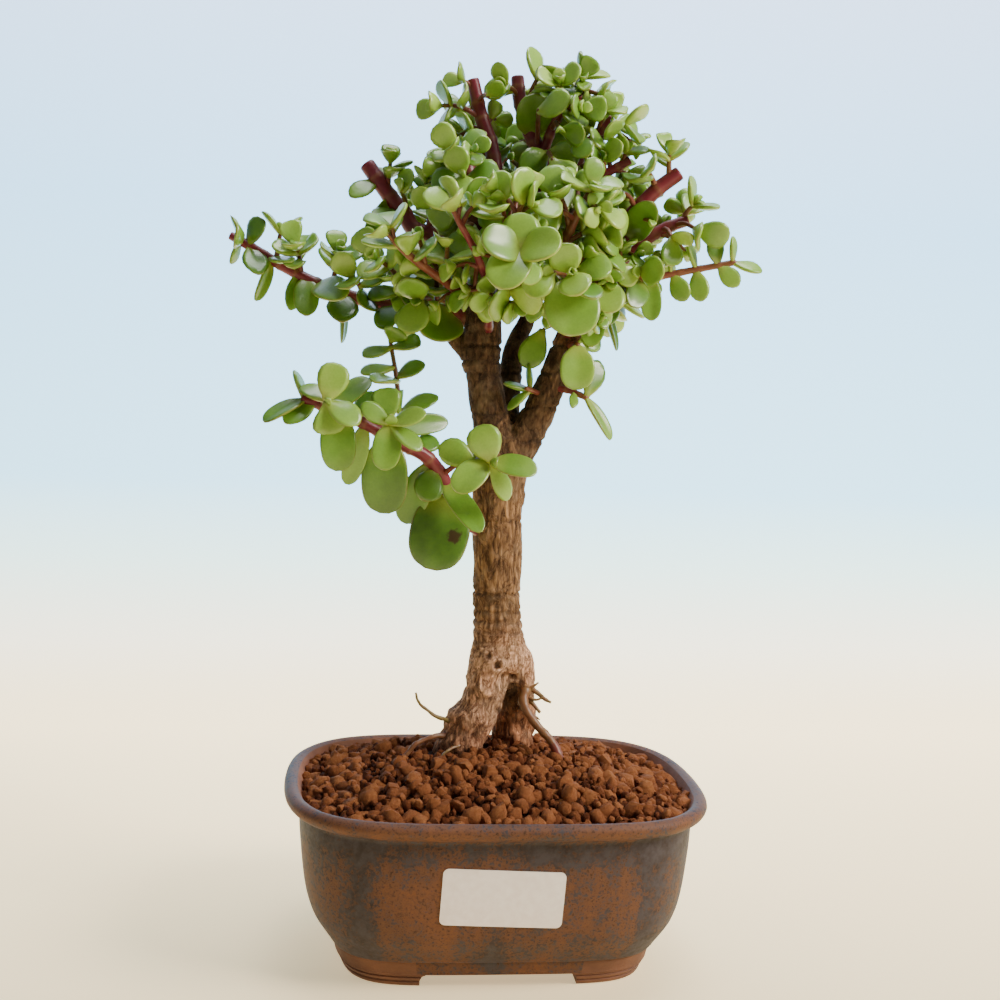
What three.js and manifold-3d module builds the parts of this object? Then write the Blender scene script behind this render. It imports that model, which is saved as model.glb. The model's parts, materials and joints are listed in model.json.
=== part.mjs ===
// A dwarf jade bonsai (Portulacaria afra) in its glazed stoneware pot, in millimetres, +Z up.
// The table frame below has its origin on the ground under the middle of the pot, +X along the
// pot's long side and +Y to the back; the exported group is then set on its own bounding box.
import * as THREE from "three";
import { mergeVertices } from "three/addons/utils/BufferGeometryUtils.js";
import Module from "manifold-3d";

const wasm = await Module();
wasm.setup();

// ---------------------------------------------------------------- driving dimensions (mm)
const GAP = 0.3; // clearance between pieces that touch

// Pot: a rectangle with slanted, softly turned corners, rim 148 x 119, 61 high.
const POT_HALF_LENGTH = 74;
const POT_HALF_DEPTH = 59.5;
const POT_CORNER = [52, 38]; // where the long and the short sides end and the corner's slant begins
const POT_CRISPNESS = 10; // how sharply one side turns into the next
const POT_SIDES = 24;
const POT_OUTSIDE = [ // [height, how far inside the rim's outline]
  [4.5, 18.4], [9, 17.4], [11.5, 15.8], [15, 12.9], [20, 9.9], [28, 7.6], [42, 5.9], [53.5, 5],
  [55, 4], [56.5, 1.2], [58.6, 0], [60.3, 0.5], [61, 2],
];
const POT_INSIDE = [ // from the lip's top down to the floor
  [61, 3.4], [60.2, 4.8], [56, 6.6], [42, 10.2], [24, 13.8], [15, 18.6], [10, 24],
];
const FOOT_OUTSIDE = [[0, 20.8], [4.5, 18.8], [8, 21]];
const FOOT_INNER = 31;
const FOOT_TOP = 8;
const THROUGH = 200; // long enough to cut right through the pot
const FOOT_GAP = [53, 36]; // the two openings between the feet: along X and along Y
const DRAIN_X = 22;
const DRAIN_RADIUS = 6;

// Drain screens: square plastic mesh laid over the drain holes.
const SCREEN_SIZE = 20;
const SCREEN_THICKNESS = 1;
const SCREEN_HOLES = 2; // holes along each side
const SCREEN_HOLE = 5;

// Soil: baked clay granules, mounded at the trunk.
const SOIL_EDGE_HEIGHT = 56.5;
const SOIL_MOUND = 12.5;
const SOIL_REACH = [68, 54.5]; // how far from the middle the mound runs out, along X and along Y
const SOIL_GRAIN = 6.6;
const SOIL_RELIEF = 1.5;
const SOIL_SEED = 11;

// Sticker on the pot's front wall, blank.
const LABEL_SIZE = [40, 19.5];
const LABEL_CENTRE = [-1.4, 35.3]; // x, height
const LABEL_CORNER = 1.6;
const LABEL_THICKNESS = 0.6;
const LABEL_TURN = -2.2; // degrees
const LABEL_GAP = 0.5; // the sticker's flat facets clear the wall's

// Leaves: thick, obovate. Outline as [place along the leaf, share of the half width].
const LEAF_OUTLINE = [[0.24, 0.68], [0.6, 1], [0.96, 0.6]];
const LEAF_THICKNESS = 0.2; // share of the leaf's width, at most LEAF_THICKEST
const LEAF_THICKEST = 2.6;
const LEAF_THINNEST = 1.5;
const LEAF_CROWN = 0.4; // where the leaf is thickest
const LARGE_LEAF = 14.5; // longer leaves get one more loop of points
const SMALL_LOOP = [0.54, 1, 1]; // [place along the leaf, share of half width, share of thickness]
const LARGE_LOOPS = [[0.32, 0.78, 0.9], [0.66, 1, 0.9]];
const LEAF_TIP = [0.97, 0.52];
const LEAF_CLEAR = 0.6; // free space kept round each leaf from those of other stems
const OWN_CLEAR = 0.15; // and from those of the same stem
const SHOOT_CLEAR = 0.1;
const STEM_CLEAR = 0.4;
const SHOOT_RADIUS = [1.0, 0.7]; // a side shoot's base and tip
const SHOOT_BOW = 0.12; // how far a side shoot bows up, of its length
const STEM_SIDES = 5;
const NECK = 0.8; // half the height of a leaf's foot on its shoot
const LAST_PAIR = 0.95; // where a shoot's last pair stands
const TIP_REACH = 4; // how far a stem's own leafy tip reaches past its end
const ROUNDNESS = [0.8, 0.16]; // a leaf's width over its length: least, and how much it varies
const SMOOTHED = 0.2; // slivers smaller than this, left where stems join, are merged away
const PLANT_SEED = 14;

// ---------------------------------------------------------------- the plant's framework
// The woody piece: tubes as [x, y, z, radius] along each trunk, limb and root.
const WOOD = {
  trunk: [[2.4, 10.5, 96, 5], [2.4, 10, 98.5, 9], [2.4, 10, 102, 10.2], [2, 10, 105.5, 9.8],
    [1, 10, 111, 9.1], [0.5, 10, 118, 8.6], [0, 10, 124.5, 8.6], [0, 10, 137.5, 8.9],
    [-1, 10, 152, 9.1], [-0.5, 10, 164, 9.6], [0, 10, 174.5, 10.4], [0.5, 10, 182, 9.6]],
  left_limb: [[-2, 9, 177, 8], [-4, 9, 186, 6.9], [-6, 9, 195, 6.5], [-7.5, 9, 204, 6.4],
    [-8.5, 9, 208, 7.1], [-8.5, 9, 214, 7], [-8.5, 9, 224, 6.6], [-8, 10, 229, 5.4],
    [-7, 11, 234, 4.4], [-6, 12, 236.5, 3.8]],
  right_limb: [[3.5, 9, 174.5, 7.5], [7.5, 8, 181.5, 6.6], [12.5, 8, 191, 5.8],
    [16.5, 7, 201.5, 5.4], [19.5, 6, 210.5, 5.2], [21, 6, 215.5, 5], [22.5, 6, 220.5, 4.3],
    [25, 7, 226, 3.8], [27, 7, 230, 3.3], [28.5, 7, 232.5, 3]],
  middle_limb: [[0.5, 14, 184, 6.5], [2, 18, 195, 5], [3.5, 22, 206, 4.2], [5.5, 26, 215, 3.8],
    [9.5, 29, 224, 3.2], [12, 30, 230, 2.7]],
  left_spur: [[-10, 9, 208, 4], [-15, 9, 213, 3.2], [-19, 10, 216.5, 2.6], [-21.5, 11, 218.5, 2.2]],
  left_leg: [[1.5, 10, 112, 7.2], [-0.2, 8.8, 105, 8.2], [-2, 7.5, 98, 7.8], [-3.1, 7, 90.5, 7.3],
    [-5.1, 7.2, 84, 7.1], [-7.9, 7.8, 77.5, 8.2], [-10.9, 8.8, 71, 8.7], [-13.2, 10, 58, 8.6]],
  back_leg: [[4, 12, 100, 8], [7.4, 15, 92, 7.4], [9.6, 18, 84, 7], [9.9, 19.5, 77.5, 7.4],
    [9.2, 20.5, 71, 8.2], [8.8, 21.5, 56, 8.4]],
  right_hip: [[4.5, 10, 110, 5.5], [7.4, 10, 104, 5.8], [9.8, 9.5, 99, 5], [11.2, 9, 95, 4.1],
    [12.2, 8.5, 90.5, 3.4], [12, 7.5, 87.5, 2.4]],
  front_root: [[11.8, 7, 91, 2.2], [10.6, 4.5, 88, 1.9], [11.7, 2, 84, 1.5], [15.5, 0, 79, 1.5],
    [20.5, -2, 73.7, 1.6], [23, -4, 69, 1.6], [24.8, -5, 64.5, 1.6], [26.2, -5, 57, 1.5]],
  low_root: [[-13, 8, 74, 1.8], [-18.5, 5, 74, 1.1], [-23, 3, 73.5, 0.9], [-28, 1.5, 71.5, 0.8],
    [-32, 0.5, 66.5, 0.8], [-33.5, 0, 61, 0.8]],
  upturned_root: [[-11.5, 7, 77, 1.4], [-16.7, 5.5, 79.4, 0.8], [-20, 3, 81.2, 0.7], [-23.2, 2, 83, 0.6],
    [-27, 1, 86.7, 0.5], [-28.6, 0, 90.5, 0.4]],
  right_rootlet: [[12, 8, 91, 1.4], [15, 7, 90.3, 0.9], [17.5, 6, 88.3, 0.8], [20.8, 5, 86.6, 0.5]],
  lower_rootlet: [[11.5, 7, 88.5, 1.5], [13.8, 5.8, 86.5, 0.9], [16.8, 4.3, 82.8, 0.5]],
};
// Leafy stems: name, node, base radius, tip radius, points. Stems with one node grow as one piece.
const STEMS = [
  ["low_left", "low_left", 2.6, 1.5, [[-5.5, 9, 148], [-16, 1, 154], [-18, -2, 159.5], [-23, -6, 169],
    [-29, -9, 175.5], [-39, -12, 180], [-49, -15, 185.5], [-64, -19, 191.5], [-70.5, -20, 193.5]]],
  ["left_long", "left_long", 2.9, 1.5, [[-11.5, 10, 222.5], [-23.5, 12, 225.5], [-35.5, 13, 226.5],
    [-50.5, 15, 228.5], [-66.5, 17, 233.5], [-80.5, 19, 240], [-93, 21, 247], [-98, 22, 249.5]]],
  ["left_front", "left_front", 1.9, 1.0, [[-12, 6, 228.5], [-18, -3, 231.5], [-23.5, -10, 234.5],
    [-31, -16, 238.5], [-37.5, -21, 242.5], [-42, -25, 246]]],
  ["left_cut", "left_cut", 2.4, 2.1, [[-7.5, 14, 232.5], [-16, 18, 244], [-24, 19, 252.5],
    [-33, 20, 254.5], [-37, 21, 260], [-43, 22, 267], [-50.5, 24, 277]]],
  ["top_thick", "top_thick", 3.0, 2.8, [[-8.5, 8, 233], [-11.5, 5, 250.5], [-15, 3, 265.5],
    [-17, 2, 278.5]]],
  ["top_left", "top_left", 2.3, 1.7, [[-7, 11, 232.5], [-4.5, 13, 250], [-4, 17, 266.5], [-6.5, 18, 284],
    [-10.5, 19, 295], [-14, 20, 308]]],
  ["top_mid", "top_mid", 2.5, 1.9, [[-4, 12, 230.5], [2, 18, 250.5], [9, 22, 269.5], [12.5, 22, 281],
    [7.5, 23, 291.5], [3.5, 24, 303], [2.5, 25, 311]]],
  ["top_mid_fork", "top_mid", 1.8, 1.6, [[12, 22, 282], [15, 18, 293], [20, 16, 302], [25, 15, 307]]],
  ["top_right", "top_right", 2.3, 1.9, [[20.5, 9, 221.5], [20, 16, 241.5], [21, 15, 258.5],
    [22, 14, 272.5], [24.5, 12, 283], [29.5, 10, 288.5], [35, 8, 295]]],
  ["top_right_fork", "top_right", 1.7, 1.5, [[22.5, 14, 271.5], [27, 8, 273.5], [32, 5, 275.5],
    [40.5, 3, 280.5]]],
  ["right_front", "right_front", 1.9, 1.4, [[24, 4, 225.5], [18, -8, 237], [15.5, -15, 248.5],
    [17, -18, 253], [19, -20, 258], [22.5, -22, 264.5]]],
  ["right_cut", "right_cut", 2.6, 2.1, [[27.5, 9, 230], [33, 9, 239], [39.5, 7, 245.5], [40.5, 4, 253.5],
    [41.5, 2, 260.5], [45.5, 0, 265.5], [50, -1, 270.5], [57, -2, 276]]],
  ["right_cut_fork", "right_cut", 2.1, 2.1, [[39.5, 6, 246], [47.5, 3, 253], [53, 2, 257],
    [61.5, 1, 260.5]]],
  ["right_long", "right_long", 1.6, 1.1, [[26.5, 5, 229], [31, 2, 233.5], [36.5, 0, 237],
    [48.5, -2, 239.5], [64, -4, 243], [77.5, -6, 246]]],
  ["front_low", "front_low", 1.7, 1.1, [[-5.5, 4, 228.5], [-4, -12, 234], [-2.5, -27, 239.5],
    [-2, -38, 243.5]]],
  ["front_high", "front_high", 1.6, 1.0, [[-7.5, 3, 232.5], [-6.5, -10, 242], [-4.5, -22, 251],
    [-2, -31, 257]]],
  ["front_right", "front_right", 1.6, 1.1, [[21, 3, 218.5], [21, -10, 227.5], [19, -22, 233.5],
    [16.5, -31, 237]]],
  ["front_left", "front_left", 1.6, 1.0, [[-7, 3, 219.5], [-9, -12, 231.5], [-14.5, -23, 243],
    [-22, -31, 253.5]]],
  ["crotch", "crotch", 1.0, 0.8, [[14.5, 8, 196.5], [10, 2, 198.5], [6.5, -2, 199.5]]],
  ["limb_spur", "limb_spur", 1.2, 1.0, [[18, 4, 200], [23, 0, 199], [27.5, -3, 197]]],
  ["limb_leaf", "limb_leaf", 1.3, 1.2, [[21, 4, 214.5], [23, -1, 215.5], [23.5, -4, 215]]],
  ["back_mid", "back_mid", 2.0, 1.3, [[11.5, 30, 229], [16.5, 42, 248], [19, 50, 267.5], [20, 54, 281.5]]],
  ["back_left_low", "back_left_low", 1.8, 1.2, [[-8, 16, 220], [-14, 34, 224.5], [-21.5, 48, 231],
    [-27, 58, 236]]],
  ["back_left", "back_left", 1.8, 1.2, [[-12, 13, 225], [-15.5, 32, 243.5], [-18.5, 46, 259.5],
    [-22.5, 52, 271]]],
  ["back_top", "back_top", 1.9, 1.2, [[-5.5, 15.5, 228], [-1, 33, 250], [0, 42, 273.5], [-0.5, 46, 288.5]]],
  ["back_right_low", "back_right_low", 1.7, 1.2, [[22.5, 10, 217.5], [35.5, 32, 226], [43, 46, 233],
    [50.5, 56, 238.5]]],
  ["back_right", "back_right", 1.8, 1.2, [[26, 11.5, 227], [38.5, 32, 245], [44.5, 44, 259.5],
    [49, 52, 270]]],
  ["back_top_right", "back_top_right", 1.8, 1.2, [[18.5, 11, 208], [23.5, 24, 225.5], [31, 33, 249.5],
    [33.5, 40, 269], [34.5, 44, 283]]],
];
// Side shoots: stem, place along it, tip, leaf pairs, leaf length, turn of the first pair (degrees).
const SHOOTS = [
  ["low_left", 0.92, [-62.5, -28, 193], 0, 0, 0],
  ["low_left", 0.65, [-41.5, -23, 186], 0, 0, 0],
  ["low_left", 0.36, [-7, -24, 174.5], 0, 0, 0],
  ["low_left", 0.57, [-41.5, -6, 213.5], 0, 0, 0],
  ["left_long", 0.80, [-80.5, 18, 251.5], 1, 9, 90],
  ["left_long", 0.69, [-74.5, 12, 246], 3, 9, 0],
  ["left_long", 0.56, [-60, 9, 244.5], 3, 9, 20],
  ["left_long", 0.43, [-55, 4, 235.5], 2, 10, 10],
  ["left_long", 0.24, [-47, -4, 242], 4, 10.5, 40],
  ["left_long", 0.15, [-26, 2, 238.5], 2, 14, 20],
  ["left_long", 0.15, [-32, -6, 228.5], 1, 13, 80],
  ["left_front", 1.00, [-43, -27, 250.5], 2, 9, 0],
  ["left_front", 0.66, [-33.5, -22, 247], 2, 10, 40],
  ["left_front", 0.43, [-24, -18, 246.5], 2, 12, 60],
  ["left_cut", 0.81, [-42.5, 20, 278.5], 3, 7.5, 0],
  ["left_cut", 0.61, [-38.5, 14, 267], 2, 8, 40],
  ["left_cut", 0.47, [-30, 13, 271.5], 4, 7.5, 20],
  ["left_cut", 0.41, [-23, 16, 276.5], 4, 8, 60],
  ["top_thick", 0.76, [-19, -8, 270.5], 2, 10, 10],
  ["top_thick", 0.57, [-12, -18, 260], 2, 10, 30],
  ["top_thick", 0.94, [-21.5, -4, 280.5], 2, 9, 50],
  ["top_thick", 0.39, [-18, -16, 253], 2, 11, 80],
  ["top_left", 0.82, [-26.5, 14, 297.5], 3, 9, 10],
  ["top_left", 0.74, [-22.5, 10, 285], 3, 9, 45],
  ["top_left", 0.95, [-18, 18, 307.5], 1, 8, 20],
  ["top_left", 0.90, [-9.5, 8, 300.5], 1, 7.5, 70],
  ["top_left", 0.56, [-8.5, 2, 272.5], 2, 9.5, 20],
  ["top_mid", 0.91, [-2.5, 18, 306.5], 2, 9, 10],
  ["top_mid", 0.84, [9, 18, 310.5], 3, 10, 30],
  ["top_mid", 0.63, [12.5, -2, 278.5], 2, 12, 35],
  ["top_mid", 0.69, [8, 6, 296.5], 1, 13, 0],
  ["top_mid", 0.48, [-1, 4, 278.5], 2, 10.5, 10],
  ["top_mid_fork", 0.59, [15.5, 8, 306.5], 3, 9, 20],
  ["top_mid_fork", 0.77, [25, 13, 310.5], 2, 9, 10],
  ["top_mid_fork", 0.86, [30, 8, 303.5], 2, 9, 50],
  ["top_mid_fork", 0.46, [22, 2, 297.5], 2, 10, 80],
  ["top_mid_fork", 0.39, [14.5, -2, 288.5], 1, 10, 0],
  ["top_right", 0.89, [31.5, 4, 297], 3, 9, 30],
  ["top_right", 0.95, [39, 4, 293], 2, 9, 0],
  ["top_right", 0.85, [32.5, -2, 286.5], 2, 9.5, 40],
  ["top_right", 0.80, [21.5, 0, 286.5], 2, 9.5, 30],
  ["top_right", 0.68, [26, 0, 278], 2, 10.5, 60],
  ["top_right_fork", 0.59, [30, -2, 279.5], 1, 9.5, 20],
  ["top_right_fork", 0.89, [39, 2, 283], 2, 8, 10],
  ["right_front", 1.00, [23, -24, 267], 2, 9.5, 0],
  ["right_front", 0.85, [25.5, -26, 260.5], 2, 10, 30],
  ["right_front", 0.73, [12.5, -24, 263.5], 3, 10.5, 10],
  ["right_front", 0.62, [29, -20, 253], 3, 10.5, 40],
  ["right_front", 0.47, [27.5, -16, 247], 2, 11, 20],
  ["right_cut", 0.93, [53, -4, 283], 3, 8, 20],
  ["right_cut", 0.84, [44, -8, 276], 2, 10, 60],
  ["right_cut", 0.73, [52, -10, 265], 2, 10, 30],
  ["right_cut", 0.67, [36, -8, 268], 2, 9.5, 0],
  ["right_cut", 0.55, [45, -14, 258], 2, 11, 45],
  ["right_cut", 0.48, [31.5, -12, 258.5], 2, 10.5, 15],
  ["right_cut_fork", 0.92, [63, -2, 265.5], 2, 9.5, 20],
  ["right_cut_fork", 0.67, [54.5, -8, 253], 1, 10, 70],
  ["right_cut_fork", 0.81, [63, -8, 256.5], 1, 10.5, 0],
  ["right_long", 0.25, [33.5, -12, 237], 1, 12, 80],
  ["right_long", 0.41, [43.5, -10, 241], 1, 11, 0],
  ["front_right", 0.71, [15.5, -36, 237.5], 2, 11, 20],
  ["front_right", 0.71, [9.5, -34, 237.5], 1, 10.5, 60],
  ["front_low", 0.38, [-2.5, -18, 231.5], 1, 12, 10],
  ["front_low", 0.53, [4, -20, 231.5], 1, 12, 50],
  ["front_high", 0.38, [-14.5, -20, 246.5], 2, 10.5, 30],
  ["front_high", 0.73, [-8, -30, 258.5], 2, 10.5, 0],
  ["front_high", 0.73, [2, -32, 259], 2, 10, 60],
  ["front_high", 0.91, [-2, -22, 266], 2, 11, 20],
  ["front_left", 0.65, [-14, -12, 232], 1, 12, 20],
  ["front_left", 1.00, [-21, -30, 257.5], 2, 10.5, 20],
  ["top_mid", 0.35, [-5.5, -2, 272], 2, 11, 25],
  ["top_mid", 0.28, [7, -16, 252], 2, 11, 50],
  ["top_right", 0.37, [16, 0, 260], 2, 11, 20],
  ["top_right", 0.48, [28, 2, 262.5], 2, 11, 60],
  ["top_right", 0.28, [10.5, -14, 242.5], 1, 12, 20],
  ["right_front", 0.81, [6.5, -30, 257], 2, 11, 70],
  ["top_thick", 0.65, [-26, -8, 260.5], 2, 10.5, 40],
  ["left_cut", 0.33, [-26.5, 4, 250], 2, 11, 70],
  ["front_right", 0.55, [11, -22, 232.5], 1, 13, 30],
  ["front_right", 0.55, [28, -14, 236], 1, 13, 60],
];
// Leaves set one by one: stem, place along it, tip, width, the way the upper face looks.
const LEAVES = [
  ["low_left_1", 1.00, [-59.3, -27, 204.9], 10, [0.1, -1, 0.35]],
  ["low_left_1", 1.00, [-52.1, -31, 186.3], 9, [0.3, -1, 0.5]],
  ["low_left_1", 0.97, [-61.4, -32, 182.7], 9.8, [0, -1, 0.7]],
  ["low_left_1", 0.80, [-70.1, -20, 197.4], 7.5, [-0.2, -0.5, 1]],
  ["low_left", 0.88, [-49, -14, 200.6], 8, [0.1, -0.7, 1]],
  ["low_left", 0.99, [-71.6, -17, 205.4], 8.5, [1, -0.35, 0]],
  ["low_left", 0.99, [-82.1, -25, 186.4], 7, [0.1, -0.35, 1]],
  ["low_left", 0.95, [-75.3, -29, 185.6], 8, [-0.2, -0.8, 0.6]],
  ["low_left", 0.86, [-57.7, -20, 170.8], 11.2, [0, -1, 0.1]],
  ["low_left_2", 1.00, [-43.3, -20, 197.2], 9.3, [-0.1, -1, 0.4]],
  ["low_left_2", 1.00, [-50.6, -22, 192.2], 6.3, [-0.5, -0.9, 0.5]],
  ["low_left_2", 1.00, [-30.2, -26, 190.1], 7.1, [0.2, -0.9, 0.7]],
  ["low_left_2", 0.97, [-31.5, -27, 178.2], 6.9, [0.5, -1, 0.5]],
  ["low_left_2", 0.97, [-42.9, -27, 171.9], 9, [0, -1, 0.5]],
  ["low_left", 0.78, [-47.2, -13, 196], 8, [-0.3, -0.6, 1]],
  ["low_left", 0.70, [-21.9, -6, 186.9], 7.2, [0.2, -1, 0.2]],
  ["low_left", 0.50, [-25.1, -4, 180.9], 7.5, [0.3, -0.9, 0.8]],
  ["low_left", 0.64, [-42.1, -12, 156.4], 15, [-0.2, -1, 0.1]],
  ["low_left", 0.74, [-54.6, -12, 165.7], 7.1, [0.25, -1, 0.35]],
  ["low_left", 0.43, [-34.7, -3, 152.2], 9.9, [-0.2, -1, 0.05]],
  ["low_left", 0.28, [-25, -9, 137.3], 19.3, [0, -1, 0.12]],
  ["low_left", 0.40, [-28.7, -14, 161.2], 10.1, [0.2, -1, 0.3]],
  ["low_left", 0.33, [-10.2, -20, 151.8], 8.2, [0.3, -1, 0.15]],
  ["low_left_3", 1.00, [-11.5, -24, 186.2], 11.2, [-0.3, -1, 0.45]],
  ["low_left_3", 1.00, [7.2, -27, 172.6], 7.9, [0.2, -1, 0.6]],
  ["low_left_3", 0.97, [-1.1, -20, 162.3], 7.1, [0.4, -1, 0.2]],
  ["low_left_3", 0.90, [-18.7, -28, 165.6], 10, [-0.2, -1, 0.6]],
  ["low_left_3", 0.70, [-23.9, -17, 178.6], 9.4, [-0.3, -1, 0.3]],
  ["low_left_3", 0.85, [-11.5, -12, 180.5], 6, [0.6, -0.9, 0.2]],
  ["low_left_4", 1.00, [-39.2, -8, 218.3], 8.3, [0.2, -1, 0.3]],
  ["low_left_4", 0.95, [-50.2, -10, 208.2], 8, [0, -0.45, 1]],
  ["low_left_4", 0.95, [-31.5, -8, 212.7], 8.5, [0.1, -0.7, 1]],
  ["low_left_4", 0.75, [-50.8, -10, 202.5], 8, [-0.3, -0.6, 1]],
  ["low_left_4", 0.62, [-46.6, -18, 200.5], 8, [0, -0.6, 1]],
  ["low_left_4", 0.65, [-30, -8, 206.3], 8, [0.2, -0.6, 1]],
  ["low_left_4", 0.30, [-40.3, -15, 194.9], 9, [-0.1, -0.8, 0.8]],
  ["low_left_4", 0.30, [-25.3, -6, 195.3], 8, [0.1, -0.6, 1]],
  ["left_long", 0.93, [-87, 16, 254.5], 9, [-0.3, -0.8, 0.5]],
  ["left_long", 0.96, [-94, 8, 251], 11, [-0.2, -1, 0.2]],
  ["left_long", 0.92, [-87.5, 12, 236], 9, [0.3, -1, 0.1]],
  ["left_long", 0.82, [-88, 15, 227.5], 5, [0.8, -0.6, 0.1]],
  ["left_long", 0.96, [-98, 20, 240], 4.5, [1, -0.4, 0]],
  ["left_long", 0.83, [-76.5, 8, 240], 7.5, [0, -0.5, 1]],
  ["left_long", 0.71, [-76.5, 14, 224.5], 6.5, [0.5, -1, 0]],
  ["left_long", 0.67, [-70.5, 8, 223], 8.5, [0, -1, 0.1]],
  ["left_long", 0.62, [-58.5, 2, 229], 11, [-0.1, -1, 0.5]],
  ["left_long", 0.51, [-58.5, 6, 220.5], 11, [0, -1, 0.1]],
  ["left_long", 0.52, [-57.5, 17, 214], 5, [1, -0.3, 0]],
  ["left_long", 0.33, [-43, 0, 219], 9, [-0.3, -1, 0.2]],
  ["left_long", 0.40, [-51.5, 0, 227], 9, [0.2, -1, 0.3]],
  ["left_long", 0.07, [-29.5, -4, 218], 15, [0, -1, 0.35]],
  ["left_long", 0.04, [-22.5, 4, 216.5], 8, [0.2, -0.5, -1]],
  ["left_long", 0.17, [-37, -2, 229.5], 9, [0, -1, 0.6]],
  ["left_front", 0.77, [-28.5, -28, 245.5], 9, [-0.2, -0.7, 0.7]],
  ["left_front", 0.93, [-52, -22, 245.5], 7, [0, -0.6, 1]],
  ["left_front", 0.85, [-36.5, -30, 246.5], 9, [0, -0.8, 0.6]],
  ["left_cut", 0.90, [-56, 18, 265], 7.5, [0, -0.8, 0.6]],
  ["left_cut", 0.78, [-50, 18, 253.5], 5.5, [0.7, -0.7, 0.1]],
  ["left_cut", 0.67, [-48, 12, 258], 7, [0, -0.7, 0.8]],
  ["top_mid", 0.75, [8, 10, 302.5], 12.5, [0, -1, 0.1]],
  ["right_cut", 0.41, [43, -14, 239], 14, [0, -1, 0.2]],
  ["right_cut", 0.48, [45, -16, 262.5], 10, [0.1, -1, 0.3]],
  ["right_front", 0.49, [30, -14, 244], 10, [0, -0.6, 0.9]],
  ["right_long", 0.60, [55.5, -4, 251], 5.5, [0.8, -0.6, 0]],
  ["right_long", 0.61, [61, -5, 232.5], 7, [-0.5, -0.9, 0.2]],
  ["right_long", 0.76, [61, -4, 252], 5.5, [0.8, -0.6, 0.1]],
  ["right_long", 0.76, [66.5, -6, 232.5], 7, [-0.4, -1, 0.1]],
  ["right_long", 0.90, [69, -6, 253.5], 7, [0.3, -1, 0.1]],
  ["right_long", 0.90, [78.5, -8, 238], 6.5, [-0.5, -0.8, 0.4]],
  ["right_long", 0.99, [76, -7, 254.5], 5.5, [0.8, -0.6, 0.1]],
  ["right_long", 0.99, [86.5, -8, 243], 6.5, [-0.1, -0.6, 0.8]],
  ["right_long", 0.47, [49, -6, 225.5], 7, [-0.2, -1, 0]],
  ["right_long", 0.41, [40.5, -12, 230], 9, [0.3, -1, 0.1]],
  ["right_long", 0.50, [49, -10, 244.5], 8, [0.3, -1, 0.1]],
  ["right_long", 0.23, [32.5, -8, 223.5], 8, [0.1, -1, 0]],
  ["right_long", 0.14, [38.5, 0, 215], 5, [0.9, -0.5, 0.2]],
  ["right_long", 0.13, [28, 4, 215], 9, [-0.2, -1, 0]],
  ["right_long", 0.28, [37, -12, 230], 9, [0, -1, 0.3]],
  ["front_low", 1.00, [-2, -38, 255], 12, [0, -1, 0.25]],
  ["front_low", 1.00, [-14, -42, 246], 11.5, [-0.1, -1, 0.35]],
  ["front_low", 1.00, [-9, -46, 232], 13, [-0.1, -0.9, 0.6]],
  ["front_low", 1.00, [8.5, -44, 245.5], 12, [0.2, -1, 0.4]],
  ["front_low", 0.94, [2, -40, 233], 9, [0.2, -1, 0.2]],
  ["front_right", 0.94, [15.5, -36, 218.5], 17.5, [0, -1, 0.1]],
  ["front_right", 0.84, [21.5, -42, 230], 10, [0.1, -0.7, 0.8]],
  ["limb_leaf", 1.00, [23.5, -6, 200.5], 11.5, [0, -1, 0.15]],
  ["limb_leaf", 1.00, [32, 6, 217.5], 8, [0, -1, 0.15]],
  ["limb_spur", 1.00, [32, -3, 209.5], 8, [0.3, -1, 0]],
  ["limb_spur", 1.00, [36.5, -5, 183.5], 5.5, [0.8, -0.8, 0.3]],
  ["limb_spur", 0.60, [22, -8, 193.5], 3.5, [0, -1, 0]],
  ["crotch", 0.51, [-1, -2, 200.5], 4.5, [0.1, -0.5, 1]],
  ["crotch", 0.80, [1, 0, 192], 4.5, [-0.1, -0.5, 1]],
  ["crotch", 0.80, [7.5, 4, 208], 5, [1, -0.3, 0]],
  ["back_mid", 0.01, [11.5, 24, 207.5], 10, [0.1, -1, 0]],
  ["back_mid", 0.01, [0.5, 28, 217], 6.5, [0, -0.6, 1]],
];
// Leaf pairs at the tips of the stems themselves: stem, pairs, leaf length, turn.
const TIPS = [
  ["left_front", 2, 8.5, 30], ["front_high", 2, 10.5, 20], ["front_left", 2, 10, 70],
  ["back_mid", 2, 9, 20], ["back_left_low", 2, 9.5, 10], ["back_left", 2, 9, 50],
  ["back_top", 2, 8.5, 30], ["back_right_low", 2, 9.5, 0], ["back_right", 2, 9, 40],
  ["back_top_right", 2, 8.5, 70],
];
const RULED_STEMS = TIPS.slice(3).map(([name]) => name);

// ---------------------------------------------------------------- vectors and chance
const add = (a, b) => [a[0] + b[0], a[1] + b[1], a[2] + b[2]];
const sub = (a, b) => [a[0] - b[0], a[1] - b[1], a[2] - b[2]];
const scale = (a, k) => [a[0] * k, a[1] * k, a[2] * k];
const dot = (a, b) => a[0] * b[0] + a[1] * b[1] + a[2] * b[2];
const cross = (a, b) => [a[1] * b[2] - a[2] * b[1], a[2] * b[0] - a[0] * b[2], a[0] * b[1] - a[1] * b[0]];
const length = (a) => Math.sqrt(dot(a, a));
const unit = (a) => scale(a, 1 / length(a));
const mix = (a, b, t) => add(scale(a, 1 - t), scale(b, t));
const radians = (d) => (d * Math.PI) / 180;
const UP = [0, 0, 1];

// A seeded draw from 0 to 1 that any language can repeat exactly.
function chance(seed) {
  let state = seed;
  return () => {
    state = (state * 1664525 + 1013904223) % 4294967296;
    return state / 4294967296;
  };
}

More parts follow.
